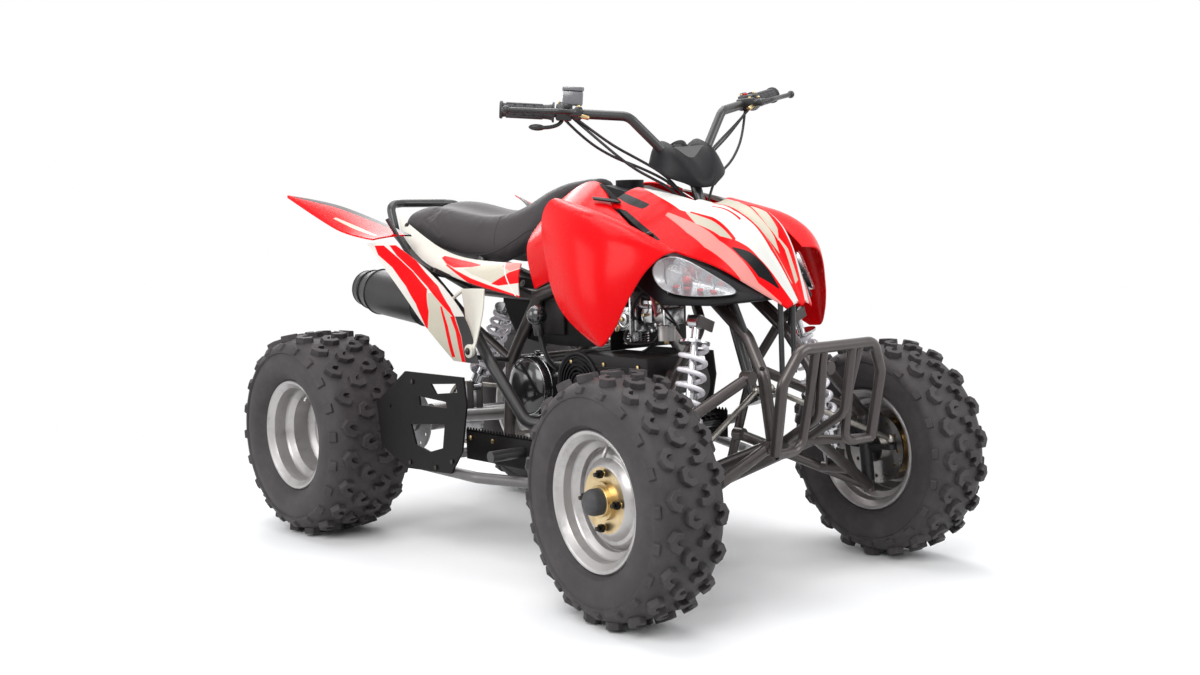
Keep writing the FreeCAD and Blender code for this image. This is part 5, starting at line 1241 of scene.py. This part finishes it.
class QUAD_OT_lamps(bpy.types.Operator):
    """Headlamps: clear lenses over chrome reflectors in black nacelles"""
    bl_idname = "quad.lamps"
    bl_label = "Headlamps"

    def execute(self, context):
        outline = places(LENS_OUTLINE)
        middle = sum(outline, Vector()) / len(outline)

        def inset(share, out):
            return [middle + (point - middle) * share + LAMP_OUT * out for point in outline]

        shell = softened("nacelles", "headlamp_shells", 0.0035, 3)
        cutter = joined("cutter", [fan(inset(0.96, 0), middle + LAMP_OUT * crown) for crown in (0.04, -0.046)])
        outward(cutter, MERGE)
        for item in (cutter, mirrored(cutter, "cutter_right")):
            modifier(shell, "BOOLEAN", operation="DIFFERENCE", object=item, solver="EXACT")
            bpy.data.objects.remove(item)
        smooth(shell, 30)
        finished(shell, "black_plastic", replaces=("headlamp_shells",))
        lens = domed(inset(0.97, 0.002), middle + LAMP_OUT * 0.013, 0.0018)
        bowl = domed(inset(0.95, -0.001), middle - LAMP_OUT * 0.04, 0.0012)
        # The bulb, then small red balls that are painted glints
        bulb_and_painted_glints = [ball(middle - LAMP_OUT * 0.016, 0.01)]
        bulb_and_painted_glints += [ball(spot - LAMP_OUT * 0.007, 0.0055, (1.6, 1, 0.7)) for spot in places(GLINTS)]
        ribs = [disc_bar(place(1150 + 26 * k, 545 - 52 * k, 735 - 14 * k) - LAMP_OUT * 0.009,
                         place(1158 + 26 * k, 545 - 52 * k, 662) - LAMP_OUT * 0.01, 0.0014, 10)
                for k in range(4)]
        paired("lens", [lens], "clear_lens", replaces=("headlamp_lenses",))
        paired("reflector", [bowl], "bright_alloy", "chrome")
        paired("lamp_bulbs", bulb_and_painted_glints, "bright_alloy", "bulb")
        paired("lamp_ribs", ribs, "bright_alloy", "chrome")
        return {"FINISHED"}


# Bodywork details

BLADES = (
    ((823, 280, 906), (846, 294, 901), (918, 366, 857), (932, 352, 859)),
    ((862, 418, 872), (872, 432, 866), (912, 352, 864), (938, 366, 856)),
)
BRACKET_ROWS = (
    ((410, 550, 655), (458, 550, 657), (508, 550, 657)),
    ((452, 600, 602), (490, 600, 604), (530, 600, 606)),
    ((486, 655, 558), (512, 655, 560), (541, 655, 563)),
    ((510, 710, 518), (531, 710, 518), (552, 710, 518)),
    ((520, 720, 500), (531, 720, 498), (543, 720, 500)),
)
BRACKET_LOOP = ((415, 560, 650), (392, 620, 628), (410, 680, 590), (470, 705, 545),
                (515, 715, 515))
# Place of a bolt on the left and the way that it faces
PANEL_BOLTS = (
    (1033, 905, 690, (0.2, 1, 0.1)), (531, 736, 508, (0.2, 1, 0)), (620, 470, 672, (0, 1, 0.4)),
    (40, 340, 822, (0, 1, 0.6)), (1060, 440, 788, (0, 0.4, 1)),
)


class QUAD_OT_trim(bpy.types.Operator):
    """Scoop blades, panel bolts and flank brackets"""
    bl_idname = "quad.trim"
    bl_label = "Body trim"

    def execute(self, context):
        paired("scoop_blade", [self.strip(shares) for shares in BLADES], "black_plastic", "dark_grey", 30)
        for name, side in SIDES:
            bolts = []
            for *shares, aim in PANEL_BOLTS:
                spot, way = y_times(place(*shares), side), y_times(Vector(aim), side)
                bolts += [nut(spot, way, 0.006, 0.004), nut(spot, way, 0.009, 0.0012, 24)]
            dressed("panel_bolts_" + name, bolts, "bright_alloy", "dark_nut")
        arm = sheet_of([places(row) for row in BRACKET_ROWS], 0.004, Y_AXIS)
        eye = disc_bar(place(531, 705, 508), place(531, 735, 508), 0.017, 32, 0.002)
        paired("flank_bracket", [arm, hose(places(BRACKET_LOOP), 0.0042, 16), eye], "white_panel", None, 45)
        return {"FINISHED"}

    def strip(self, shares):
        item = added(bpy.ops.mesh.primitive_grid_add, x_subdivisions=1, y_subdivisions=1, size=1)
        for vertex, spot in zip(item.data.vertices, places(shares)):
            vertex.co = spot + Vector((0, 0, 0.003))
        modifier(item, "SOLIDIFY", thickness=0.004, offset=0)
        outward(item, MERGE)
        bevelled(item, 0.001)
        return item


# Engine details

CASE_SIDE = -0.105
# How far a bolt head's foot lies under the face that it stands on
SINK = 0.0002
BREATHER_ROUTES = (
    ((-0.02, 0.01, 0.026), (-0.01, -0.03, 0.06), (0.04, -0.02, 0.07), (0.08, 0.01, 0.05)),
    ((0.01, 0.01, -0.02), (0.02, -0.03, -0.04), (0.05, -0.02, -0.06), (0.09, 0.01, -0.05)),
    ((0.03, 0.01, 0), (0.05, -0.03, 0.01), (0.06, -0.02, 0.05), (0.07, 0.02, 0.09)),
)
COVER_ROWS = (
    ((430, 280, 690), (560, 285, 680), (700, 285, 668), (820, 280, 660)),
    ((450, 285, 600), (560, 290, 595), (700, 290, 592), (820, 285, 590)),
    ((500, 280, 535), (580, 285, 520), (700, 285, 515), (800, 280, 520)),
)
DOME_LINE = ((-0.004, 0.076), (0.026, 0.076), (0.04, 0.0735), (0.052, 0.0655), (0.062, 0.0515), (0.068, 0.033),
             (0.07, 0.013))
CASE_BOLTS = ((600, 290), (660, 352), (720, 290), (780, 352), (740, 440), (700, 456), (790, 300))
# Runs round the carburettor, in metres from its middle: radius, steps and guide points
ENGINE_HOSES = (
    (0.0045, 12, (-0.045, 0.01, 0.02), (-0.06, 0, 0.07), (-0.1, 0.01, 0.1), (-0.16, 0.02, 0.105)),
    (0.0035, 12, (-0.004, -0.014, -0.04), (-0.02, -0.03, -0.07), (-0.06, -0.02, -0.088), (-0.12, 0, -0.094)),
    (0.02, 24, (-0.048, 0, 0), (-0.09, 0.01, 0.004), (-0.15, 0.03, 0.03), (-0.23, 0.06, 0.05)),
    (0.0028, 12, (0.02, 0.02, -0.03), (0.05, -0.03, 0), (0.03, -0.06, 0.04), (-0.02, -0.02, 0.09)),
)
SCREWS = ((-0.02, 0.016), (-0.038, -0.012), (-0.006, -0.02), (0.01, 0.014), (-0.018, -0.034))
FUEL_HOSE = ((-0.01, -0.02, -0.004), (0.01, -0.045, 0.02), (-0.01, -0.04, 0.06), (-0.04, 0, 0.1))


class QUAD_OT_engine(bpy.types.Operator):
    """Polished side cover, fan, air duct, carburettor fittings, bolts and hoses"""
    bl_idname = "quad.engine"
    bl_label = "Engine details"

    def execute(self, context):
        self.side_cover()
        self.fan()
        self.duct()
        self.ribs()
        self.carburettor()
        self.breather()
        self.inner_covers()
        self.gear_lever()
        return {"FINISHED"}

    def side_cover(self):
        base = beside(580, CASE_SIDE, 412)
        dome = turned(DOME_LINE, closed=True)
        dome.data.transform(frame_of(base, -Y_AXIS))
        dressed("side_cover", [dome], "cast_case", "black_gloss")
        trim = [ring(base - Y_AXIS * out, Y_AXIS, radius, 0.0014)
                for out, radius in ((0.0265, 0.0765), (0.046, 0.0705))]
        for angle in angles(5, 0.4):
            spot = base + Vector((math.cos(angle), 0, math.sin(angle))) * 0.081
            trim.append(disc_bar(spot + Y_AXIS * 0.003, spot - Y_AXIS * 0.012, 0.006, 20, 0.001))
        dressed("side_cover_trim", trim, "bright_alloy", "chrome")

    def fan(self):
        centre = place(824, -480, 442)
        lip = [ring(centre + Y_AXIS * 0.002, Y_AXIS, 0.069, 0.0045, 64),
               disc_bar(centre + Y_AXIS * 0.01, centre - Y_AXIS * 0.001, 0.015, 32, 0.002)]
        blades = [block((0.04, 0.012, 0.0015), 0.0003,
                        Matrix.Translation(centre + Y_AXIS * 0.03) @ Matrix.Rotation(angle, 4, Y_AXIS)
                        @ Matrix.Translation((0.034, 0, 0)) @ Matrix.Rotation(0.6, 4, X_AXIS))
                  for angle in angles(9)]
        dressed("fan_lip", lip, "black_plastic", "dark_grey")
        dressed("fan_blades", blades, "black_plastic")

    def duct(self):
        """Flat air duct from the fan forward over the cylinder."""
        low, high = place(770, -470, 468), place(1060, -150, 513)
        middle = (low + high) / 2
        shapes = [block(high - low, 0.008, middle),
                  block((0.006, 0.128, 0.049), 0.002, middle - X_AXIS * 0.07),
                  block((0.29, 0.132, 0.004), 0.0012, middle - Z_AXIS * 0.006)]
        dressed("air_duct", shapes, "black_plastic", "dark_grey")
        bolts = [nut(Vector((x, low.y - SINK, middle.z)), -Y_AXIS, 0.005, 0.004)
                 for x in (low.x + 0.03, middle.x, high.x - 0.03)]
        dressed("duct_bolts", bolts, "bright_alloy", "gold_zinc")

    def ribs(self):
        """Upright cooling ribs and bolts on the lower right of the crankcase."""
        items = [block((0.0035, 0.026, 0.056), 0.0008, Vector((station(598 + 18 * k), CASE_SIDE - 0.01, 0.312)))
                 for k in range(11)]
        items.append(block((0.2, 0.02, 0.012), 0.002, Vector((station(688), CASE_SIDE - 0.006, 0.282))))
        dressed("case_ribs", items, "cast_case", "dark_nut")
        bolts = []
        for x, z in CASE_BOLTS:
            spot = beside(x, CASE_SIDE - SINK, z)
            bolts += [nut(spot, -Y_AXIS, 0.0065, 0.007), nut(spot, -Y_AXIS, 0.01, 0.0035, 24)]
        dressed("case_bolts", bolts, "bright_alloy")

    def carburettor(self):
        """Bolts, springs, cable horn and hoses round the carburettor."""
        centre = place(1010, -200, 600)
        cap, horn, horn_top, clamp, seam, flange, stay = offsets(
            centre, (0, 0, 0.062), (0, 0, 0.07), (0, 0, 0.094), (-0.05, 0, 0), (0, 0, -0.02), (0.024, 0, 0),
            (-0.03, -0.029, 0.01))
        bright = [nut(cap, Z_AXIS, 0.018, 0.008), disc_bar(horn, horn_top, 0.006, 20, 0.001),
                  ring(clamp, X_AXIS, 0.027, 0.003), ring(seam, Z_AXIS, 0.0215, 0.0022),
                  block((0.008, 0.062, 0.04), 0.002, flange), block((0.03, 0.004, 0.05), 0.001, stay)]
        bright += [disc_bar(*offsets(centre, (x, -0.0205, z), (x, -0.0295, z)), 0.0042, 16, 0.0008) for x, z in SCREWS]
        dressed("carburettor_fittings", bright, "bright_alloy", "chrome")
        brass = [disc_bar(*offsets(centre, (0, -0.022, 0.03), (0, -0.038, 0.034)), 0.0055, 6, 0.0006),
                 disc_bar(*offsets(centre, (0, 0, -0.054), (0, 0, -0.066)), 0.006, 6, 0.0008),
                 disc_bar(*offsets(centre, (-0.03, -0.02, 0.002), (-0.03, -0.044, 0.002)), 0.0036, 6, 0.0005)]
        dressed("carburettor_brass", brass, "bright_alloy", "gold_zinc")
        coil = [ring(centre + Vector((-0.02 - 0.0035 * k, -0.034, 0.022)), X_AXIS, 0.0048, 0.0009, 20)
                for k in range(7)]
        coil.append(disc_bar(*offsets(centre, (-0.012, -0.034, 0.022), (-0.05, -0.034, 0.022)), 0.0018, 10))
        coil.append(disc_bar(*offsets(centre, (-0.018, -0.018, 0.022), (-0.018, -0.036, 0.022)), 0.003, 12))
        dressed("carburettor_spring", coil, "bright_alloy", "chrome")
        hoses = [hose(offsets(centre, *points), radius, steps) for radius, steps, *points in ENGINE_HOSES]
        dressed("engine_hoses", hoses, "cast_knuckle", "cable", degrees=50)
        fuel = hose(offsets(centre, *FUEL_HOSE), 0.0036)
        dressed("fuel_hose", [fuel], "cast_knuckle", "pink_hose", degrees=50)

    def breather(self):
        """Bright breather block with bolts, brass unions and hoses, behind the carburettor."""
        middle = place(908, -200, 590)
        face = middle - Y_AXIS * 0.035
        bright = [block((0.076, 0.07, 0.06), 0.006, middle), ring(face, Y_AXIS, 0.019, 0.0022),
                  disc_bar(face + Y_AXIS * 0.003, face - Y_AXIS * 0.007, 0.014, 32, 0.002),
                  block((0.006, 0.034, 0.11), 0.001, middle + Vector((0.03, -0.03, 0.004)))]
        brass = [disc_bar(*offsets(face, (-0.03, 0.002, 0.05), (0.006, 0.002, 0.044)), 0.0065, 6, 0.001),
                 disc_bar(face + Y_AXIS * 0.002, face - Y_AXIS * 0.012, 0.006, 6, 0.001)]
        for spot in offsets(face, *((x, 0, z) for x in (-0.028, 0.022) for z in (-0.022, 0.022))):
            bright.append(nut(spot - Y_AXIS * 0.0004, -Y_AXIS, 0.0055, 0.006))
            brass.append(ring(spot, Y_AXIS, 0.0075, 0.0014, 24))
        bright += [ring(middle + Vector((0, 0, -0.034 - 0.006 * k)), Z_AXIS, 0.03, 0.0016, 40) for k in range(5)]
        dressed("breather_block", bright, "bright_alloy", "chrome")
        dressed("breather_brass", brass, "bright_alloy", "gold_zinc")
        lines = [hose(offsets(face, *route), 0.004) for route in BREATHER_ROUTES]
        dressed("breather_hoses", lines, "cast_knuckle", "cable", degrees=50)

    def inner_covers(self):
        """Black inner covers between the rails, the grey box face on them, and the splash panel ahead of the engine."""
        cover = sheet_of([places(row) for row in COVER_ROWS], 0.003, Y_AXIS, 2)
        paired("inner_cover", [cover], "black_plastic", "deep_black")
        for name, side in SIDES:
            face = [block((0.074, 0.01, 0.092), 0.004, place(664, 306 * side, 590)),
                    block((0.08, 0.006, 0.012), 0.002, place(664, 312 * side, 630))]
            dressed("box_face_" + name, face, "black_plastic", "dark_grey")
        panel = block((0.004, 0.25, 0.17), 0.001, place(868, 0, 600))
        dressed("splash_panel", [panel], "black_plastic", "deep_black")

    def gear_lever(self):
        line = [Vector((station(690), CASE_SIDE + 0.003, 0.452))]
        line += places(((690, -380, 458), (688, -470, 520), (688, -500, 592)))
        boot = disc_bar(place(688, -484, 548), place(688, -498, 580), 0.013, 24, 0.003)
        dressed("gear_lever", [hose(line, 0.006, 16), boot], "black_tube", degrees=50)
        dressed("gear_knob", [ball(place(688, -500, 597), 0.025)], "black_plastic", "black_gloss")


# Pegs, guards and chassis fittings

PEDAL_LINE = ((905, -262, 212), (915, -360, 280), (925, -440, 298), (928, -560, 303))
GUARD_BOLTS = ((450, 240), (560, 240), (628, 262), (470, 440))
BUMPER_BOLTS = ((1316, 105, 344), (1330, 160, 345), (1306, 215, 494))
CAP_LINE = ((0.0505, 0.0255), (0.053, 0.0275), (0.07, 0.0275), (0.078, 0.025), (0.084, 0.019), (0.0865, 0.01),
            (0.087, 0.003))
STEP_LINE = ((0.0503, 0.032), (0.056, 0.032), (0.057, 0.031), (0.057, 0.027))
TAIL_LINE = ((-0.01, 0.015), (0.012, 0.015), (0.0135, 0.014), (0.012, 0.013), (-0.01, 0.013))
# Bands round the silencer: share of its length and radius
BANDS = ((0.21, 0.0625), (0.79, 0.0625), (0.91, 0.054), (0.995, 0.048))
TEETH = 22


class QUAD_OT_fittings(bpy.types.Operator):
    """Serrated peg plates, brake pedal, guard bolts, hub caps and muffler fittings"""
    bl_idname = "quad.fittings"
    bl_label = "Fittings"

    def execute(self, context):
        for name, side in SIDES:
            self.peg(name, side)
            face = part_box("heel_guards")[1].y * side - SINK * side
            bolts = [nut(beside(x, face, z), Y_AXIS * side, 0.006, 0.0045) for x, z in GUARD_BOLTS]
            dressed("guard_bolts_" + name, bolts, "bright_alloy", "dark_nut")
        pedal = [hose(places(PEDAL_LINE), 0.006, 16), block((0.03, 0.04, 0.01), 0.002, place(928, -560, 306))]
        dressed("brake_pedal", pedal, "black_tube", degrees=50)
        for name, side in SIDES:
            self.hub_cap(name, front_matrix(name, side))
        self.muffler()
        bolts = [nut(place(x, y * side, z), Z_AXIS + X_AXIS * 0.3, 0.006, 0.006)
                 for side in (1, -1) for x, y, z in BUMPER_BOLTS]
        dressed("bumper_bolts", bolts, "bright_alloy", "dark_nut")
        return {"FINISHED"}

    def peg(self, name, side):
        """Folded side plate with a saw-toothed top, two bolts and cross treads on the peg."""
        low, high = place(560, 815, 250), place(815, 825, 322)
        middle, y = (low + high) / 2, side * low.y
        items = [block((high.x - low.x, 0.003, high.z - low.z), 0.0006, Vector((middle.x, y, middle.z)))]
        pitch = (high.x - low.x) / TEETH
        for index in range(TEETH):
            tooth = added(bpy.ops.mesh.primitive_cylinder_add, vertices=3, radius=pitch * 0.55, depth=0.003)
            tooth.data.transform(Matrix.Translation((low.x + pitch * (index + 0.5), y, high.z))
                                 @ Matrix.Rotation(math.radians(90), 4, X_AXIS))
            items.append(tooth)
        peg_x = station(780)
        items.append(block((0.03, 0.13, 0.006), 0.001, Vector((peg_x, side * (low.y - 0.062), 0.3))))
        items += [block((0.034, 0.003, 0.012), 0.0006, Vector((peg_x, side * (0.205 + 0.019 * k), 0.305)))
                  for k in range(7)]
        dressed("peg_plate_" + name, items, "black_tube", "black_plate")
        bolts = [nut(Vector((low.x + x, side * (low.y + 0.0014), 0.304)), Y_AXIS * side, 0.006, 0.005)
                 for x in (0.022, 0.11)]
        dressed("peg_bolts_" + name, bolts, "bright_alloy", "gold_zinc")

    def hub_cap(self, name, matrix):
        """Rubber dome over a front hub, with its studs and the brass step round it."""
        spots = [Matrix.Rotation(angle, 4, Z_AXIS) @ Vector((0.055, 0, 0.0545)) for angle in angles(4)]
        for piece, items, slot, look in (
                ("hub_cap_front_", [turned(CAP_LINE, 48, closed=True)], "tyre_rubber", "grip_rubber"),
                ("hub_step_front_", [turned(STEP_LINE, 48)], "hub_steel", "gold_zinc"),
                ("hub_studs_front_", [disc_bar(spot, spot + Z_AXIS * 0.01, 0.0045, 16, 0.0008) for spot in spots],
                 "hub_steel", "dark_nut")):
            for item in items:
                item.data.transform(matrix)
            dressed(piece + name, items, slot, look, "front_wheel_" + name)

    def muffler(self):
        front, rear = place(300, -480, 605), place(-77, -500, 648)
        bands = [ring(front.lerp(rear, share), (rear - front).normalized(), radius, 0.0022, 64)
                 for share, radius in BANDS]
        dressed("muffler_bands", bands, "black_exhaust")
        pipe = turned(TAIL_LINE, 40)
        pipe.data.transform(frame_of(rear, rear - front))
        dressed("tail_pipe", [pipe], "damper_steel", "chrome")


# Finishes of the solids that stay as they are

class QUAD_OT_solids(bpy.types.Operator):
    """Give every solid of the frame its finish"""
    bl_idname = "quad.solids"
    bl_label = "Solid finishes"

    def execute(self, context):
        for entry in frame["record"]["subparts"]:
            item = frame["nodes"][entry["node"]]
            item.data.materials.clear()
            item.data.materials.append(material(NODE_LOOKS.get(entry["node"], entry["material_slot"])))
        return {"FINISHED"}


class QUAD_PT_panel(bpy.types.Panel):
    bl_label = "Quad Bike"
    bl_idname = "QUAD_PT_panel"
    bl_space_type = "VIEW_3D"
    bl_region_type = "UI"
    bl_category = "Quad Bike"

    def draw(self, context):
        layout = self.layout
        for group in (context.scene.quad_sizes, context.scene.quad_paint, context.scene.quad_stage):
            for key in group.bl_rna.properties.keys():
                if key not in ("rna_type", "name"):
                    layout.prop(group, key)
        for operator in OPERATORS:
            layout.operator(operator.bl_idname)


GROUPS = (QuadSizes, QuadPaint, QuadStage)
OPERATORS = (
    QUAD_OT_stage, QUAD_OT_solids, QUAD_OT_tyres, QUAD_OT_rims, QUAD_OT_seat, QUAD_OT_grips, QUAD_OT_controls,
    QUAD_OT_pod, QUAD_OT_lamps, QUAD_OT_trim, QUAD_OT_engine, QUAD_OT_fittings,
)


def register():
    for item in GROUPS + OPERATORS + (QUAD_PT_panel,):
        bpy.utils.register_class(item)
    bpy.types.Scene.quad_sizes = PointerProperty(type=QuadSizes)
    bpy.types.Scene.quad_paint = PointerProperty(type=QuadPaint)
    bpy.types.Scene.quad_stage = PointerProperty(type=QuadStage)


def unregister():
    del bpy.types.Scene.quad_sizes, bpy.types.Scene.quad_paint, bpy.types.Scene.quad_stage
    for item in (QUAD_PT_panel,) + OPERATORS[::-1] + GROUPS[::-1]:
        bpy.utils.unregister_class(item)


def main():
    register()
    for operator in OPERATORS:
        group, name = operator.bl_idname.split(".")
        getattr(getattr(bpy.ops, group), name)()


if __name__ == "__main__":
    main()
